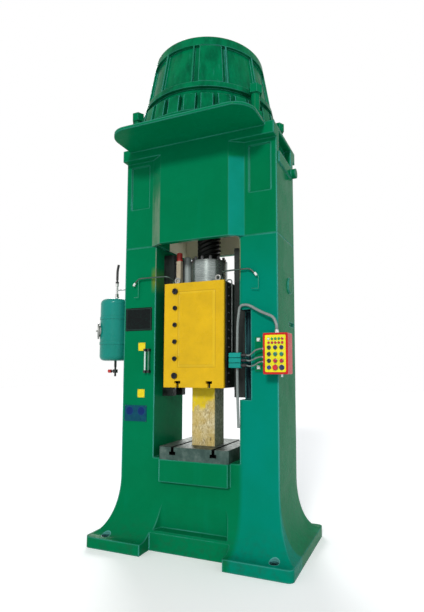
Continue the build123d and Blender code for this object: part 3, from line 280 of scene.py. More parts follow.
def post_tones(m, color):
    """Tones of the lower casting: a painted teal reflection on the right post, painted shade in the right
    post's pocket and in the anchor holes with a painted highlight round each hole, and painted reflections
    of the yellow ram at the window's edges.
    """
    x, y, z = m.axis("X"), m.axis("Y"), m.axis("Z")
    front = m.math("MULTIPLY", m.fade(x, 0.405, 0.450), m.fade(y, -0.255, -0.268))
    heights = [(0.0, 0.75), (0.45, 0.95), (0.80, 0.75), (1.0, 0.35)]
    height = m.ramp(m.math("DIVIDE", z, POST_TOP), heights)
    # Painted reflection: a teal tint over the right post's front, strongest at mid height.
    right_post_reflection = m.ramp(m.noise(2.0, 3.0, 0.5, offset=(2, 4, 6)), [(0.30, 0.65), (0.65, 1.0)])
    right_post_reflection = m.both(m.both(front, height), right_post_reflection)
    color = m.mix(right_post_reflection, color, (0.0, 0.235, 0.180))
    # Painted shade: the pocket beside the right window edge turns near black, with painted bluish
    # reflections in streaks.
    painted_shade_area = m.both(m.between(x, 0.4195, 0.5225, 0.0005), m.between(y, -0.2712, -0.1400, 0.0005))
    painted_shade_area = m.both(painted_shade_area, m.between(z, 1.2880, 2.0570, 0.0005))
    reflection_streaks = m.ramp(m.noise(34.0, 4.0, 0.7, stretch=(1, 1, 0.06)), [(0.46, 0.0), (0.62, 1.0)])
    pocket = m.mix(reflection_streaks, (0.004, 0.010, 0.013), (0.025, 0.075, 0.085))
    color = m.mix(painted_shade_area, color, pocket)
    away_x = m.math("SUBTRACT", m.math("ABSOLUTE", x), ANCHOR_X)
    away_y = m.math("SUBTRACT", m.math("ABSOLUTE", y), ANCHOR_Y)
    away = m.distance(away_x, away_y)
    # Painted highlight: a pale teal ring round each anchor hole; painted shade: near black inside it.
    color = m.mix(m.between(away, 0.0375, 0.0415, 0.001), color, (0.12, 0.38, 0.36))
    color = m.mix(m.fade(away, 0.0385, 0.0365), color, (0.003, 0.010, 0.012))
    # Painted reflection: a yellowish smear of the ram on the left window edge, at random strength.
    rub_and_reflection = m.both(m.between(x, -0.462, -0.416, 0.014), m.between(z, 2.30, 2.46, 0.05))
    rub_and_reflection = m.both(rub_and_reflection, m.ramp(m.noise(9.0, 3.0, 0.5), [(0.30, 0.35), (0.62, 0.75)]))
    color = m.mix(rub_and_reflection, color, (0.17, 0.20, 0.012))
    # Painted reflection: orange lines of the yellow ram along both window edges, high up.
    rim = m.between(m.math("ABSOLUTE", x), 0.4195, 0.4265, 0.001)
    rim = m.both(rim, m.between(z, 2.33, 2.66, 0.03))
    rim = m.both(rim, m.fade(y, -0.262, -0.268))
    return m.mix(m.math("MULTIPLY", rim, 0.75), color, PAINTED_RAM_REFLECTION)


def crown_tones(m, color):
    """Slanted sides of the cover: a brighter painted teal reflection on the right, and rubbed to grey low
    on the left.
    """
    x, y, z = m.axis("X"), m.axis("Y"), m.axis("Z")
    front = m.fade(y, -0.2655, -0.2675)
    height = m.fade(z, 3.425, 3.395)
    # Painted reflection: a brighter teal over the right slanted side of the cover.
    right = m.both(m.between(x, 0.343, 0.4655, 0.001), m.both(front, height))
    reflection_strength = m.ramp(m.noise(3.0, 3.0, 0.5, offset=(1, 6, 2)), [(0.30, 0.55), (0.65, 0.95)])
    color = m.mix(m.math("MULTIPLY", right, reflection_strength), color, (0.004, 0.255, 0.200))
    left = m.both(m.between(x, -0.4655, -0.3430, 0.004), m.both(front, m.fade(z, 3.30, 3.10)))
    rub_and_reflection = m.ramp(m.noise(26.0, 5.0, 0.7, stretch=(1, 1, 0.10)), [(0.36, 0.15), (0.56, 0.95)])
    return m.mix(m.math("MULTIPLY", left, rub_and_reflection), color, (0.135, 0.235, 0.150))


def housing_tones(m, color):
    """Darker upright blotches at random as painted shade, like that beside the ribs, and paler rubbed
    spots.
    """
    # Painted shade: darker upright blotches laid at random over the housing.
    blotch = m.noise(9.0, 5.0, 0.66, stretch=(1, 1, 0.35), offset=(4, 4, 1))
    painted_shade_area = m.ramp(blotch, [(0.40, 0.0), (0.62, 1.0)])
    color = m.mix(m.math("MULTIPLY", painted_shade_area, 0.60), color, (0.0, 0.045, 0.022))
    rubbed = m.noise(30.0, 4.0, 0.6, stretch=(1, 1, 0.25), offset=(8, 2, 5))
    wear_and_sheen = m.ramp(rubbed, [(0.60, 0.0), (0.72, 1.0)])
    return m.mix(m.math("MULTIPLY", wear_and_sheen, 0.35), color, (0.02, 0.24, 0.16))


def crown_inside(m):
    """Cream primer on the walls of the crown's cavity."""
    x, y, z = m.axis("X"), m.axis("Y"), m.axis("Z")
    left_front = m.math("MULTIPLY", m.fade(x, -0.395, -0.399), m.fade(y, -0.050, -0.062))
    inside = m.both(m.between(x, -0.4006, 0.4006, 0.0003), m.between(y, -0.2906, 0.2906, 0.0003))
    inside = m.math("SUBTRACT", inside, left_front, clamp=True)
    return m.math("MULTIPLY", inside, m.between(z, 2.7005, 3.501, 0.0003))


def scaled(color, factor):
    """A colour made darker or lighter, no channel above 1."""
    return tuple(min(1.0, c * factor) for c in color)


def steel(name, color, rough=0.35, streak=(1, 1, 1), grime=0.35, metal=1.0, dark=(0.03, 0.03, 0.028)):
    """Bare metal with fine lines and spots of grime."""
    m = Mat(name, color, rough, metal)
    lines = m.noise(60.0, 3.0, 0.6, stretch=streak)
    shade = m.ramp(lines, [(0.3, scaled(color, 0.78)), (0.7, scaled(color, 1.15))])
    spots = m.ramp(m.noise(14.0, 6.0, 0.65), [(0.42, 0.0), (0.70, 1.0)])
    color_out = m.mix(m.math("MULTIPLY", spots, grime), shade, dark)
    r = m.ramp(m.noise(22.0, 4.0, 0.6, offset=(4, 2, 1)), [(0.3, rough * 0.75), (0.7, rough * 1.5)])
    return m.out(color_out, r, normal=m.bump(lines, 0.12, 0.0008, m.bevel(0.002, 4)))


def enamel(name, color, rough=0.3, bevel_radius=0.003, grime=0.15):
    """Brushed enamel; the colour so far stays in .color, so that more can be laid over it."""
    m = Mat(name, color, rough, spec=0.22)
    tone = m.ramp(m.noise(5.0, 4.0, 0.6), [(0.3, scaled(color, 0.88)), (0.7, scaled(color, 1.08))])
    dirt = m.ramp(m.noise(23.0, 6.0, 0.7), [(0.50, 0.0), (0.75, 1.0)])
    out = m.mix(m.math("MULTIPLY", dirt, grime), tone, scaled(color, 0.35))
    m.color = out
    r = m.ramp(m.noise(9.0, 4.0, 0.6), [(0.3, rough * 0.8), (0.7, rough * 1.4)])
    m.out(out, r, normal=m.bump(m.noise(200.0, 2.0, 0.5), 0.08, 0.0005, m.bevel(bevel_radius, 4)))
    return m


def plastic(name, color, rough=0.35, bevel_radius=0.0015):
    """Moulded plastic with a fine grain."""
    m = Mat(name, color, rough)
    grain = m.noise(420.0, 2.0, 0.5)
    lighter = tuple(min(1.0, c * 1.12 + 0.002) for c in color)
    tone = m.ramp(m.noise(30.0, 3.0, 0.6), [(0.3, scaled(color, 0.85)), (0.7, lighter)])
    r = m.ramp(m.noise(60.0, 3.0, 0.5), [(0.3, rough * 0.85), (0.7, rough * 1.3)])
    return m.out(tone, r, normal=m.bump(grain, 0.10, 0.0003, m.bevel(bevel_radius, 4)))


use(green("green_frame", 0.022, areas=post_tones), "base_frame")
use(green("green_crown", 0.022, inner=crown_inside, areas=crown_tones), "crown")
use(green("green_housing", 0.012, areas=housing_tones), "motor_housing", "housing_door")
use(green("green_studs", 0.006), "hold_down_studs")
tank_paint = green("green_fittings", 0.004, tones=(TEAL, TEAL_LIGHT, TEAL_DARK), spec=0.14)
use(tank_paint, "air_tank", "tank_mount")


def bracket_tones(m, color):
    """White caps on the two bolts of the box bracket."""
    z = m.axis("Z")
    rows = m.math("MAXIMUM", m.between(z, 1.547, 1.577, 0.0005), m.between(z, 1.778, 1.808, 0.0005))
    cap = m.math("MULTIPLY", m.between(m.axis("X"), 0.5775, 0.6065, 0.0005), rows)
    return m.mix(cap, color, (0.70, 0.74, 0.70))


use(green("green_bracket", 0.004, areas=bracket_tones), "box_bracket")
use(enamel("teal_connectors", (0.0, 0.26, 0.22), 0.35, 0.004), "connector_block")

dark_steel = steel("steel_dark", (0.060, 0.064, 0.060), 0.45, grime=0.5)
use(dark_steel, "tie_rods", "stator_frame", "brake_unit", "wear_strips")
use(steel("steel_bolts", (0.13, 0.13, 0.135), 0.35, grime=0.3), "rail_bolts", "nut_bolts", "strip_bolts")
use(steel("steel_black", (0.025, 0.027, 0.035), 0.30, grime=0.1), "plate_bolts")
use(steel("steel_rails", (0.030, 0.036, 0.034), 0.42, (1, 1, 0.05), grime=0.45), "guide_rails")
use(steel("steel_bright", (0.016, 0.018, 0.017), 0.42, (1, 1, 12), grime=0.5), "main_screw")
use(steel("steel_eyes", (0.34, 0.35, 0.33), 0.30, grime=0.3), "lifting_eyes", "brake_disc")
use(steel("steel_laminated", (0.24, 0.25, 0.26), 0.4, (1, 1, 20)), "stator_core", "rotor")
use(steel("copper_coils", (0.50, 0.20, 0.09), 0.35, (1, 1, 6), grime=0.2), "stator_windings")
use(steel("bronze", (0.52, 0.36, 0.16), 0.3, (1, 1, 9), grime=0.2), "screw_bearings")
use(steel("steel_drain", (0.05, 0.055, 0.055), 0.35), "drain_valve")
use(steel("steel_hatch", (0.36, 0.37, 0.35), 0.4, grime=0.3), "tank_hatch")
use(steel("plated", (0.60, 0.61, 0.60), 0.24, grime=0.15), "tank_inlet", "box_glands")
use(steel("arm_steel", (0.085, 0.125, 0.105), 0.35, grime=0.35), "trip_arms")

YELLOW = (0.665, 0.405, 0.004)


def ram_yellow():
    """Yellow enamel with painted shade along the foot of the raised panel and a painted highlight on its
    slanted rim.
    """
    m = enamel("ram_yellow", YELLOW, 0.28, 0.006, grime=0.10)
    x, z = m.axis("X"), m.axis("Z")
    outer = m.math("MULTIPLY", m.between(x, -0.155, 0.216, 0.004), m.between(z, 1.562, 2.243, 0.004))
    foot = m.math("MULTIPLY", m.between(x, -0.149, 0.210, 0.002), m.between(z, 1.568, 2.237, 0.002))
    rim = m.math("MULTIPLY", m.between(x, -0.132, 0.193, 0.003), m.between(z, 1.585, 2.220, 0.003))
    # Painted shade: a dark brown seam round the panel's foot; painted highlight: paler yellow on its
    # slanted rim.
    foot_shade = m.math("SUBTRACT", outer, foot, clamp=True)
    rim_highlight = m.math("SUBTRACT", foot, rim, clamp=True)
    color = m.mix(m.math("MULTIPLY", foot_shade, 0.55), m.color, (0.38, 0.21, 0.002))
    color = m.mix(m.math("MULTIPLY", rim_highlight, 0.40), color, (0.80, 0.55, 0.02))
    return m.out(color)


use(ram_yellow(), "ram_front_plate")


def ram_side():
    """The ram behind its painted plate: dark, oily, with green paint left on the flanks."""
    m = Mat("ram_block", (0.06, 0.07, 0.06), 0.4, 0.4)
    z = m.axis("Z")
    paint = m.ramp(m.noise(5.0, 6.0, 0.68), [(0.36, 0.0), (0.66, 1.0)])
    color = m.mix(m.math("MULTIPLY", paint, 0.6), (0.022, 0.032, 0.027), (0.004, 0.070, 0.038))
    top = m.fade(z, 2.316, 2.3185)
    color = m.mix(m.math("MULTIPLY", top, 0.8), color, (0.17, 0.17, 0.16))
    r = m.ramp(m.noise(15.0, 4.0, 0.6), [(0.3, 0.3), (0.7, 0.55)])
    return m.out(color, r, normal=m.bump(m.noise(90.0, 4.0, 0.6), 0.2, 0.0008, m.bevel(0.006, 4)))


use(ram_side(), "ram")


def nut_finish():
    """Turned steel flange, bright with vertical reflections, darker at the top rim."""
    m = Mat("nut_steel", (0.30, 0.34, 0.33), 0.26, 0.75)
    rings = m.noise(90.0, 3.0, 0.6, stretch=(0.2, 0.2, 6.0))
    color = m.ramp(rings, [(0.3, (0.19, 0.225, 0.215)), (0.7, (0.36, 0.40, 0.385))])
    top = m.fade(m.axis("Z"), 2.525, 2.555)
    oil = m.ramp(m.noise(12.0, 5.0, 0.6), [(0.40, 0.0), (0.65, 1.0)])
    color = m.mix(m.math("MULTIPLY", top, 0.65), color, (0.07, 0.075, 0.07))
    color = m.mix(m.math("MULTIPLY", oil, 0.35), color, (0.07, 0.085, 0.08))
    r = m.ramp(rings, [(0.3, 0.16), (0.7, 0.30)])
    return m.out(color, r, normal=m.bump(rings, 0.08, 0.0005, m.bevel(0.003, 4)))


use(nut_finish(), "ram_nut")


def bolster_finish():
    """Dull machined steel, scratched and rusty on top, with black painted shade inside its T-slots."""
    m = Mat("bolster_steel", (0.06, 0.075, 0.065), 0.5, 0.6)
    z = m.axis("Z")
    mottle = m.noise(9.0, 6.0, 0.7)
    dull = [(0.30, (0.016, 0.040, 0.034)), (0.52, (0.045, 0.085, 0.072)), (0.72, (0.11, 0.155, 0.135))]
    color = m.ramp(mottle, dull)
    top = m.fade(z, 0.866, 0.8688)
    scratched = [
        (0.36, (0.012, 0.020, 0.016)), (0.54, (0.075, 0.095, 0.080)),
        (0.66, (0.20, 0.23, 0.20)), (0.76, (0.18, 0.11, 0.045)),
    ]
    wear_and_sheen = m.ramp(m.noise(24.0, 6.0, 0.7, distortion=0.6), scratched)
    color = m.mix(top, color, wear_and_sheen)
    # Painted shade: black inside the T-slots.
    across = m.math("SUBTRACT", m.math("ABSOLUTE", m.axis("X")), BOLSTER_SLOT_X)
    neck = m.both(m.between(across, -0.0142, 0.0142, 0.0002), m.between(z, 0.8285, 0.8682, 0.0003))
    head = m.both(m.between(across, -0.0312, 0.0312, 0.0002), m.between(z, 0.8003, 0.8292, 0.0003))
    color = m.mix(m.math("MAXIMUM", neck, head), color, (0.004, 0.006, 0.006))
    r = m.ramp(m.noise(30.0, 4.0, 0.6), [(0.3, 0.38), (0.7, 0.62)])
    return m.out(color, r, normal=m.bump(m.noise(60.0, 5.0, 0.65), 0.3, 0.0012, m.bevel(0.003, 4)))


use(bolster_finish(), "bolster")


def timber():
    """Rough sawn timber, blotched and knotty, with yellow paint rubbed over the top of its front, and
    painted shade in dark green-grey on its right side.
    """
    m = Mat("timber", (0.3, 0.26, 0.18), 0.75, spec=0.2)
    x, z = m.axis("X"), m.axis("Z")
    grain = m.noise(60.0, 6.0, 0.72, stretch=(1, 1, 0.42), distortion=1.6)
    blotch = m.noise(17.0, 5.0, 0.66, stretch=(1, 1, 0.55), offset=(2, 3, 1), distortion=0.5)
    front_tones = [
        (0.30, (0.16, 0.10, 0.035)), (0.46, (0.46, 0.36, 0.17)),
        (0.60, (0.74, 0.66, 0.42)), (0.78, (0.86, 0.80, 0.58)),
    ]
    shaded_side_tones = [(0.34, (0.030, 0.050, 0.038)), (0.50, (0.17, 0.22, 0.17)), (0.66, (0.46, 0.50, 0.36))]
    wood = m.ramp(grain, front_tones)
    tint = m.ramp(m.noise(7.0, 4.0, 0.6, offset=(7, 1, 4)), [(0.36, 0.0), (0.60, 1.0)])
    wood = m.mix(m.math("MULTIPLY", tint, 0.55), wood, (0.55, 0.38, 0.07))
    knots = m.ramp(blotch, [(0.32, 1.0), (0.42, 0.0)])
    wood = m.mix(m.math("MULTIPLY", knots, 0.8), wood, (0.055, 0.032, 0.012))
    shift = m.math("MULTIPLY", m.math("SUBTRACT", m.noise(8.0, 5.0, 0.7, stretch=(1, 1, 0.5)), 0.5), 0.42)
    edge = m.math("SUBTRACT", m.math("ADD", z, shift), m.math("MULTIPLY", x, 0.7))
    cover = m.fade(edge, 1.180, 1.225)
    patches = m.ramp(m.noise(24.0, 5.0, 0.7, stretch=(1, 1, 0.5)), [(0.33, 0.0), (0.45, 1.0)])
    front = m.fade(x, 0.1325, 0.1300)
    paint = m.both(m.both(cover, patches), m.math("ADD", m.math("MULTIPLY", front, 0.9), 0.1))
    yellow = m.ramp(m.noise(6.0, 3.0, 0.6), [(0.3, (0.62, 0.42, 0.008)), (0.7, (0.80, 0.62, 0.02))])
    color = m.mix(paint, wood, yellow)
    # Painted shade: the right side, past x = 0.13, turns to dark green-grey tones.
    side = m.ramp(grain, shaded_side_tones)
    color = m.mix(m.math("MULTIPLY", m.math("SUBTRACT", 1.0, front), 0.85), color, side)
    r = m.ramp(grain, [(0.3, 0.85), (0.7, 0.62)])
    return m.out(color, r, normal=m.bump(blotch, 0.5, 0.004, m.bump(grain, 0.6, 0.003)))


use(timber(), "timber_prop")


def nameplate():
    """A black sheet with an etched border and faint wear, bare of any text."""
    m = Mat("nameplate", (0.02, 0.02, 0.022), 0.35, spec=0.12)
    x, z = m.axis("X"), m.axis("Z")
    inside = m.math("MULTIPLY", m.between(x, -0.734, -0.467, 0.0006), m.between(z, 1.918, 2.113, 0.0006))
    inner = m.math("MULTIPLY", m.between(x, -0.731, -0.470, 0.0006), m.between(z, 1.921, 2.110, 0.0006))
    line = m.math("SUBTRACT", inside, inner, clamp=True)
    wear = m.ramp(m.noise(35.0, 6.0, 0.75, stretch=(1, 1, 2.2)), [(0.52, 0.0), (0.72, 1.0)])
    color = m.mix(m.math("MULTIPLY", wear, 0.45), (0.002, 0.004, 0.004), (0.006, 0.036, 0.027))
    color = m.mix(m.math("MULTIPLY", line, 0.5), color, (0.05, 0.14, 0.11))
    r = m.ramp(m.noise(12.0, 3.0), [(0.3, 0.25), (0.7, 0.42)])
    return m.out(color, r, normal=m.bump(wear, 0.1, 0.0004))


use(nameplate(), "nameplate")


def info_plates():
    """Two bare yellow squares and a bare blue sheet with two round blue fields."""
    m = Mat("info_plates", (0.7, 0.55, 0.02), 0.3, spec=0.10)
    x, z = m.axis("X"), m.axis("Z")
    blue = m.between(z, 0.9, 1.25, 0.001)
    yellow = m.ramp(m.noise(30.0, 4.0, 0.6), [(0.3, (0.66, 0.53, 0.01)), (0.7, (0.80, 0.66, 0.03))])
    field = m.ramp(m.noise(25.0, 4.0, 0.6), [(0.3, (0.0, 0.045, 0.085)), (0.7, (0.002, 0.070, 0.110))])
    for center_x in (-0.680, -0.554):
        d = m.distance(m.math("SUBTRACT", x, center_x), m.math("SUBTRACT", z, ROUND_FIELD_Z))
        field = m.mix(m.fade(d, 0.0415, 0.0395), field, (0.003, 0.022, 0.115))
        ring = m.math("MULTIPLY", m.fade(d, 0.0355, 0.0375), m.fade(d, 0.0415, 0.0395))
        field = m.mix(m.math("MULTIPLY", ring, 0.5), field, (0.01, 0.10, 0.20))
    color = m.mix(blue, yellow, field)
    r = m.ramp(m.noise(14.0, 3.0), [(0.3, 0.22), (0.7, 0.40)])
    return m.out(color, r, normal=m.bump(m.noise(120.0, 2.0), 0.06, 0.0003))


use(info_plates(), "info_plates")


def sight_gauges():
    """Two sight tubes with black ends: a pale one, and a dark green one that is the pale tube's painted
    shadow on the post.
    """
    m = Mat("sight_gauges", (0.5, 0.6, 0.55), 0.15)
    x, z = m.axis("X"), m.axis("Z")
    ends = m.math("MAXIMUM", m.between(z, 1.4, 1.5382, 0.0003), m.between(z, 1.7118, 1.9, 0.0003))
    # Painted shadow: the dark green tube, between x = -0.489 and -0.40, stands for the pale tube's shadow.
    tube = m.mix(m.between(x, -0.489, -0.40, 0.0005), (0.62, 0.74, 0.70), (0.02, 0.14, 0.08))
    streak = m.ramp(m.noise(70.0, 3.0, 0.6, stretch=(4, 4, 0.3)), [(0.4, 0.0), (0.6, 1.0)])
    tube = m.mix(m.math("MULTIPLY", streak, 0.25), tube, (0.30, 0.42, 0.38))
    color = m.mix(ends, tube, (0.012, 0.012, 0.014))
    r = m.ramp(m.noise(40.0, 2.0), [(0.3, 0.10), (0.7, 0.25)])
    return m.out(color, r, normal=m.bump(m.noise(90.0, 2.0), 0.05, 0.0003, m.bevel(0.002, 4)))


use(sight_gauges(), "sight_gauges")


def posts():
    """Beige posts with red caps banded by painted groove shade, and a bright steel rod beside them."""
    m = Mat("striker_posts", (0.5, 0.42, 0.3), 0.45)
    z = m.axis("Z")
    red = m.ramp(m.noise(40.0, 4.0, 0.6), [(0.3, (0.36, 0.010, 0.010)), (0.7, (0.52, 0.03, 0.02))])
    beige = m.ramp(m.noise(16.0, 5.0, 0.65), [(0.3, (0.34, 0.28, 0.19)), (0.7, (0.52, 0.45, 0.32))])
    # Painted shade: darker bands stand for the grooves round the red caps.
    grooves = m.node("ShaderNodeTexWave", wave_type="BANDS", bands_direction="Z")
    grooves.inputs["Scale"].default_value = 50.0
    m.link(m.coord(), grooves.inputs["Vector"])
    dark = m.mix(m.math("MULTIPLY", grooves.outputs["Fac"], 0.2), red, (0.06, 0.004, 0.004))
    color = m.mix(m.fade(z, 2.5765, 2.5775), beige, dark)
    rod_width = m.between(m.axis("X"), -0.2685, -0.1955, 0.0002)
    rod = m.both(rod_width, m.between(m.axis("Y"), -0.032, 0.042, 0.0002))
    bright = [(0.3, (0.24, 0.29, 0.28)), (0.7, (0.42, 0.48, 0.46))]
    lines = m.ramp(m.noise(50.0, 3.0, 0.6, stretch=(1, 1, 8)), bright)
    color = m.mix(rod, color, lines)
    r = m.ramp(m.noise(20.0), [(0.3, 0.35), (0.7, 0.6)])
    return m.out(color, r, normal=m.bump(m.noise(120.0), 0.12, 0.0005, m.bevel(0.002, 4)))


use(posts(), "striker_posts")

use(enamel("box_red", (0.56, 0.010, 0.012), 0.28, 0.004, grime=0.12), "box_shell", "box_door")
use(enamel("panel_yellow", (0.83, 0.76, 0.015), 0.35, 0.001, grime=0.06), "button_panel")


def lamps():
    """Moulded lenses: white, three green and a red above, five red below."""
    m = Mat("pilot_lamps", (0.5, 0.05, 0.03), 0.2)
    x, z = m.axis("X"), m.axis("Z")
    upper = m.between(z, 1.7725, 1.82, 0.0005)
    color = m.mix(m.between(x, 0.70, 0.738, 0.0005), (0.50, 0.012, 0.008), (0.72, 0.72, 0.66))
    color = m.mix(m.between(x, 0.738, 0.8226, 0.0005), color, (0.01, 0.30, 0.05))
    color = m.mix(upper, (0.52, 0.014, 0.008), color)
    facets = m.noise(300.0, 2.0, 0.5)
    r = m.ramp(m.noise(80.0, 2.0), [(0.3, 0.12), (0.7, 0.28)])
    return m.out(color, r, normal=m.bump(facets, 0.15, 0.0006, m.bevel(0.003, 4)))


use(lamps(), "pilot_lamps")

BLACK = (0.012, 0.012, 0.03)
NAVY = (0.004, 0.010, 0.075)
BLUE = (0.004, 0.03, 0.22)
JADE = (0.0, 0.19, 0.12)
CRIMSON = (0.42, 0.006, 0.03)
button_colors = [BLACK, NAVY, NAVY, BLACK, JADE, JADE, BLACK, CRIMSON, CRIMSON, BLUE]
for number, color in enumerate(button_colors, 1):
    use(plastic("button_%d" % number, color, 0.28, 0.003), "push_button_%d" % number)
use(plastic("button_stop", (0.60, 0.006, 0.012), 0.25, 0.004), "stop_button")
use(plastic("selector", (0.004, 0.02, 0.10), 0.3, 0.003), "selector_knob")
use(plastic("grip_black", (0.014, 0.014, 0.014), 0.45, 0.003), "valve_lever")
use(plastic("knob_red", (0.48, 0.02, 0.015), 0.35, 0.004), "drain_knob")


def cables():
    """Grey sheaths with a fine grain, and black plugs."""
    m = Mat("signal_cables", (0.12, 0.13, 0.13), 0.5)
    plug = m.between(m.axis("X"), 0.44, 0.5003, 0.0003)
    sheath = m.ramp(m.noise(40.0, 4.0, 0.6), [(0.3, (0.10, 0.13, 0.12)), (0.7, (0.20, 0.24, 0.22))])
    color = m.mix(plug, sheath, (0.010, 0.010, 0.012))
    r = m.ramp(m.noise(30.0), [(0.3, 0.38), (0.7, 0.58)])
    return m.out(color, r, normal=m.bump(m.noise(300.0, 2.0), 0.2, 0.0004))


use(cables(), "signal_cables")
use(plastic("conduit_grey", (0.20, 0.23, 0.22), 0.38, 0.001), "box_conduit", "grease_line")

# World, floor and light
SKY_STRENGTH = 0.48
FLOOR_TONE = 0.93
FLOOR_GLOW = 0.20
world = bpy.data.worlds.new("world")
bpy.context.scene.world = world
world.use_nodes = True
wt = world.node_tree
for n in list(wt.nodes):
    wt.nodes.remove(n)
path = wt.nodes.new("ShaderNodeLightPath")


def background_rays(tree, path):
    """1 for a ray that shows the background: straight, in a reflection or through glass."""
    value = path.outputs["Is Camera Ray"]
    for name in ("Is Glossy Ray", "Is Transmission Ray"):
        both = tree.nodes.new("ShaderNodeMath")
        both.operation = "MAXIMUM"
        tree.links.new(value, both.inputs[0])
        tree.links.new(path.outputs[name], both.inputs[1])
        value = both.outputs[0]
    return value


seen = background_rays(wt, path)
dim = wt.nodes.new("ShaderNodeBackground")
dim.inputs["Color"].default_value = (0.92, 0.96, 1.0, 1.0)
dim.inputs["Strength"].default_value = SKY_STRENGTH
white = wt.nodes.new("ShaderNodeBackground")
white.inputs["Color"].default_value = (1, 1, 1, 1)
white.inputs["Strength"].default_value = 1.0
pick = wt.nodes.new("ShaderNodeMixShader")
end = wt.nodes.new("ShaderNodeOutputWorld")
wt.links.new(seen, pick.inputs[0])
wt.links.new(dim.outputs[0], pick.inputs[1])
wt.links.new(white.outputs[0], pick.inputs[2])
wt.links.new(pick.outputs[0], end.inputs["Surface"])

bpy.ops.mesh.primitive_plane_add(size=60, location=(0, 0, -0.0005))
floor = bpy.context.object
floor.name = "floor"
fm = bpy.data.materials.new("floor")
fm.use_nodes = True
fb = fm.node_tree.nodes["Principled BSDF"]
fb.inputs["Base Color"].default_value = (FLOOR_TONE, FLOOR_TONE, FLOOR_TONE, 1)
fb.inputs["Roughness"].default_value = 0.8
ft = fm.node_tree
fpath = ft.nodes.new("ShaderNodeLightPath")
glow = ft.nodes.new("ShaderNodeMath")
glow.operation = "MULTIPLY"
glow.inputs[1].default_value = FLOOR_GLOW
ft.links.new(background_rays(ft, fpath), glow.inputs[0])
fb.inputs["Emission Color"].default_value = (1, 1, 1, 1)
ft.links.new(glow.outputs[0], fb.inputs["Emission Strength"])
floor.data.materials.append(fm)


def lamp(name, toward, strength, spread, color=(1, 1, 1)):
    """A soft lamp far off, shining from the given side onto the object."""
    data = bpy.data.lights.new(name, "SUN")
    data.energy = strength
    data.angle = math.radians(spread)
    data.color = color
    ob = bpy.data.objects.new(name, data)
    ob.rotation_euler = Vector(toward).to_track_quat("Z", "Y").to_euler()
    bpy.context.scene.collection.objects.link(ob)


lamp("key", (0.8, -6.0, 3.0), 1.75, 10, (1.0, 0.995, 0.97))
lamp("right_side", (8.0, -1.2, 2.5), 0.28, 30, (0.70, 0.94, 1.0))
lamp("back", (-4.0, 6.0, 4.5), 1.2, 20)


# Detail pieces
def mesh_object(name, bm, material, body, smooth=True):
    me = bpy.data.meshes.new(name)
    bm.to_mesh(me)
    bm.free()
    if smooth:
        for p in me.polygons:
            p.use_smooth = True
    ob = bpy.data.objects.new(name, me)
    bpy.context.scene.collection.objects.link(ob)
    me.materials.append(material)
    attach(ob, body)
    return ob


def lathe(bm, profile, origin, axis, segments=24, cap=True):
    """Turns a profile of (along, radius) about an axis from origin."""
    axis = Vector(axis).normalized()
    side = axis.orthogonal().normalized()
    up = axis.cross(side)
    rings = []
    for along, radius in profile:
        ring = []
        for i in range(segments):
            a = 2 * math.pi * i / segments
            p = Vector(origin) + axis * along + (side * math.cos(a) + up * math.sin(a)) * radius
            ring.append(bm.verts.new(p))
        rings.append(ring)
    for r0, r1 in zip(rings, rings[1:]):
        for i in range(segments):
            j = (i + 1) % segments
            bm.faces.new((r0[i], r0[j], r1[j], r1[i]))
    if cap:
        bm.faces.new(list(reversed(rings[0])))
        bm.faces.new(rings[-1])


def screw_mesh():
    """The screw with a steep multi-start thread between its plain end and its collar."""
    low, high = 1.975, 3.425
    starts, lead, crest, root = 6, 0.24, 0.1099, 0.100
    seg, rows = 96, 300
    bm = bmesh.new()
    rings = []
    for k in range(rows + 1):
        z = low + (high - low) * k / rows
        ring = []
        for i in range(seg):
            a = 2 * math.pi * i / seg
            phase = (z / lead * 2 * math.pi - a) * starts
            wave = max(-1.0, min(1.0, 2.2 * math.cos(phase)))
            fade = min(1.0, (z - low) / 0.02, (high - z) / 0.02)
            r = root + (crest - root) * (0.5 + 0.5 * wave) * fade
            ring.append(bm.verts.new((r * math.sin(a), -r * math.cos(a), z)))
        rings.append(ring)
    for r0, r1 in zip(rings, rings[1:]):
        for i in range(seg):
            j = (i + 1) % seg
            bm.faces.new((r0[i], r0[j], r1[j], r1[i]))
    bm.faces.new(list(reversed(rings[0])))
    bm.faces.new(rings[-1])
    lathe(bm, [(1.960, 0.096), (1.966, 0.1), (1.975, 0.1)], (0, 0, 0), (0, 0, 1), 64)
    turned = [
        (3.425, 0.1), (3.4397, 0.104), (3.4397, 0.197), (3.4427, 0.1999), (3.4767, 0.1999),
        (3.4797, 0.197), (3.4797, 0.1199), (3.6553, 0.1199), (3.6553, 0.177), (3.6583, 0.1799),
        (3.6923, 0.1799), (3.6953, 0.177), (3.6953, 0.1199), (4.341, 0.1199), (4.345, 0.116),
    ]
    lathe(bm, turned, (0, 0, 0), (0, 0, 1), 96)
    ob = mesh_object("threaded_screw", bm, bpy.data.materials["steel_bright"], "screw")
    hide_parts("main_screw")
    return ob


screw_mesh()

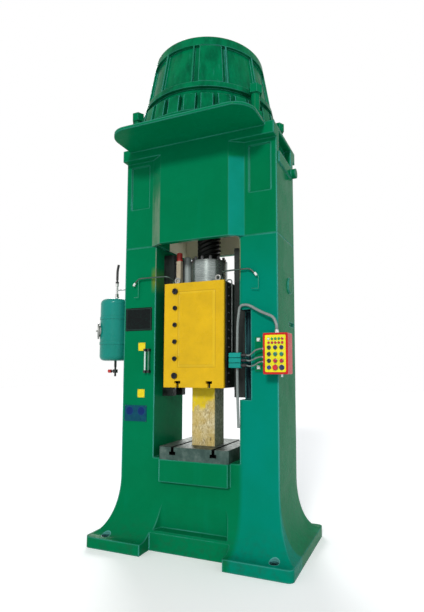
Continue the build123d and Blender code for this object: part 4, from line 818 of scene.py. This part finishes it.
# Rings around the buttons and lamps, on the door
PANEL_Y = -0.420
FORWARD = (0, -1, 0)
BUTTON_ROWS = (1.719, 1.6665, 1.6135, 1.5605)
BUTTON_COLUMNS = (0.727, 0.779, 0.831)
LAMP_ROWS = (1.788, 1.757)
LAMPS_IN_ROW, LAMP_FIRST_X, LAMP_PITCH = 5, 0.724, 0.0282
PLAIN_RING, STOP_RING, SELECTOR_RING = 0.0147, 0.0207, 0.0197
ring_radii = [PLAIN_RING] * 10 + [STOP_RING, SELECTOR_RING]
button_spots = [(x, z) for z in BUTTON_ROWS for x in BUTTON_COLUMNS]
lamp_profile = [(0, 0.0115), (0.0022, 0.0115), (0.003, 0.0105), (0.003, 0.0093), (0, 0.0093)]
bezel_mat = steel("bezels", (0.30, 0.30, 0.30), 0.3, grime=0.1)
bm = bmesh.new()
for (x, z), inner in zip(button_spots, ring_radii):
    outer = inner + 0.0028
    profile = [(0, outer), (0.0015, outer), (0.0026, outer - 0.0010), (0.0026, inner), (0, inner)]
    lathe(bm, profile, (x, PANEL_Y, z), FORWARD, 28, cap=False)
for z in LAMP_ROWS:
    for k in range(LAMPS_IN_ROW):
        lathe(bm, lamp_profile, (LAMP_FIRST_X + LAMP_PITCH * k, PANEL_Y, z), FORWARD, 22, cap=False)
mesh_object("control_bezels", bm, bezel_mat, "door")

# Corner screws of the plates on the left post
PLATE_FACE_Y = -0.275
SCREW_INSET = 0.006
plate_edges = (
    (-0.745, -0.456, 1.907, 2.124),
    (-0.736, -0.496, 1.070, 1.217),
    (-0.5975, -0.5225, 1.7195, 1.7945),
    (-0.5975, -0.5225, 1.2885, 1.3635),
)
screw_head = [(0, 0.0035), (0.0010, 0.0033), (0.0018, 0.0022), (0.0020, 0.0004)]
bm = bmesh.new()
for left, right, low, high in plate_edges:
    for x in (left + SCREW_INSET, right - SCREW_INSET):
        for z in (low + SCREW_INSET, high - SCREW_INSET):
            lathe(bm, screw_head, (x, PLATE_FACE_Y, z), FORWARD, 12)
mesh_object("plate_screws", bm, bpy.data.materials["steel_bolts"], "frame")


def tube_mesh(bm, points, radius, segments=10):
    """A thin rod along a line of points, mitred at the corners."""
    pts = [Vector(p) for p in points]
    rings = []
    side = None
    for i, p in enumerate(pts):
        d0 = (pts[i] - pts[i - 1]).normalized() if i else None
        d1 = (pts[i + 1] - pts[i]).normalized() if i < len(pts) - 1 else None
        d = d1 if d0 is None else d0 if d1 is None else (d0 + d1).normalized()
        side = d.orthogonal().normalized() if side is None else (side - d * side.dot(d)).normalized()
        up = d.cross(side)
        rings.append([bm.verts.new(p + (side * math.cos(a) + up * math.sin(a)) * radius)
                      for a in (2 * math.pi * k / segments for k in range(segments))])
    for r0, r1 in zip(rings, rings[1:]):
        for k in range(segments):
            j = (k + 1) % segments
            bm.faces.new((r0[k], r0[j], r1[j], r1[k]))
    bm.faces.new(list(reversed(rings[0])))
    bm.faces.new(rings[-1])


# White ends and thin bent wires of the two arms
ARM_Y = -0.300
WIRE_RADIUS = 0.003
arm_end = [(0, 0.006), (0.004, 0.0105), (0.030, 0.0105), (0.034, 0.006)]
left_wire = [(-0.592, 2.397), (-0.593, 2.340), (-0.593, 2.219), (-0.638, 2.219)]
right_wire = [(0.578, 2.345), (0.600, 2.329), (0.600, 2.226), (0.538, 2.229)]
bm = bmesh.new()
lathe(bm, arm_end, (-0.629, ARM_Y, 2.358), (-0.5, 0, -0.87), 18)
lathe(bm, arm_end, (0.565, ARM_Y, 2.364), (0.6, 0, -0.8), 18)
arm_white = plastic("arm_white", (0.74, 0.75, 0.73), 0.35, 0.002)
mesh_object("arm_ends", bm, arm_white, "ram_assembly")
bm = bmesh.new()
for wire in (left_wire, right_wire):
    tube_mesh(bm, [(x, ARM_Y, z) for x, z in wire], WIRE_RADIUS)
wire_green = plastic("wire_green", (0.02, 0.25, 0.16), 0.4, 0.001)
mesh_object("arm_wires", bm, wire_green, "ram_assembly")

# Hexagon heads of the nut's bolts, standing on round washers
NUT_TOP = 2.560
NUT_BOLT_CIRCLE = 0.150
NUT_BOLTS = 12
UP = (0, 0, 1)
washer = [(0, 0.0149), (0.005, 0.0149), (0.006, 0.0145)]
hexagon = [(0.006, 0.0130), (0.007, 0.0142), (0.034, 0.0142), (0.038, 0.0118)]
bm = bmesh.new()
for k in range(NUT_BOLTS):
    a = 2 * math.pi * k / NUT_BOLTS
    place = (NUT_BOLT_CIRCLE * math.cos(a), NUT_BOLT_CIRCLE * math.sin(a), NUT_TOP)
    lathe(bm, washer, place, UP, 24)
    lathe(bm, hexagon, place, UP, 6)
bolt_steel = bpy.data.materials["steel_bolts"]
heads = mesh_object("nut_bolt_heads", bm, bolt_steel, "ram_assembly", smooth=False)
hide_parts("nut_bolts")

bpy.context.view_layer.update()
low, high = cad_box
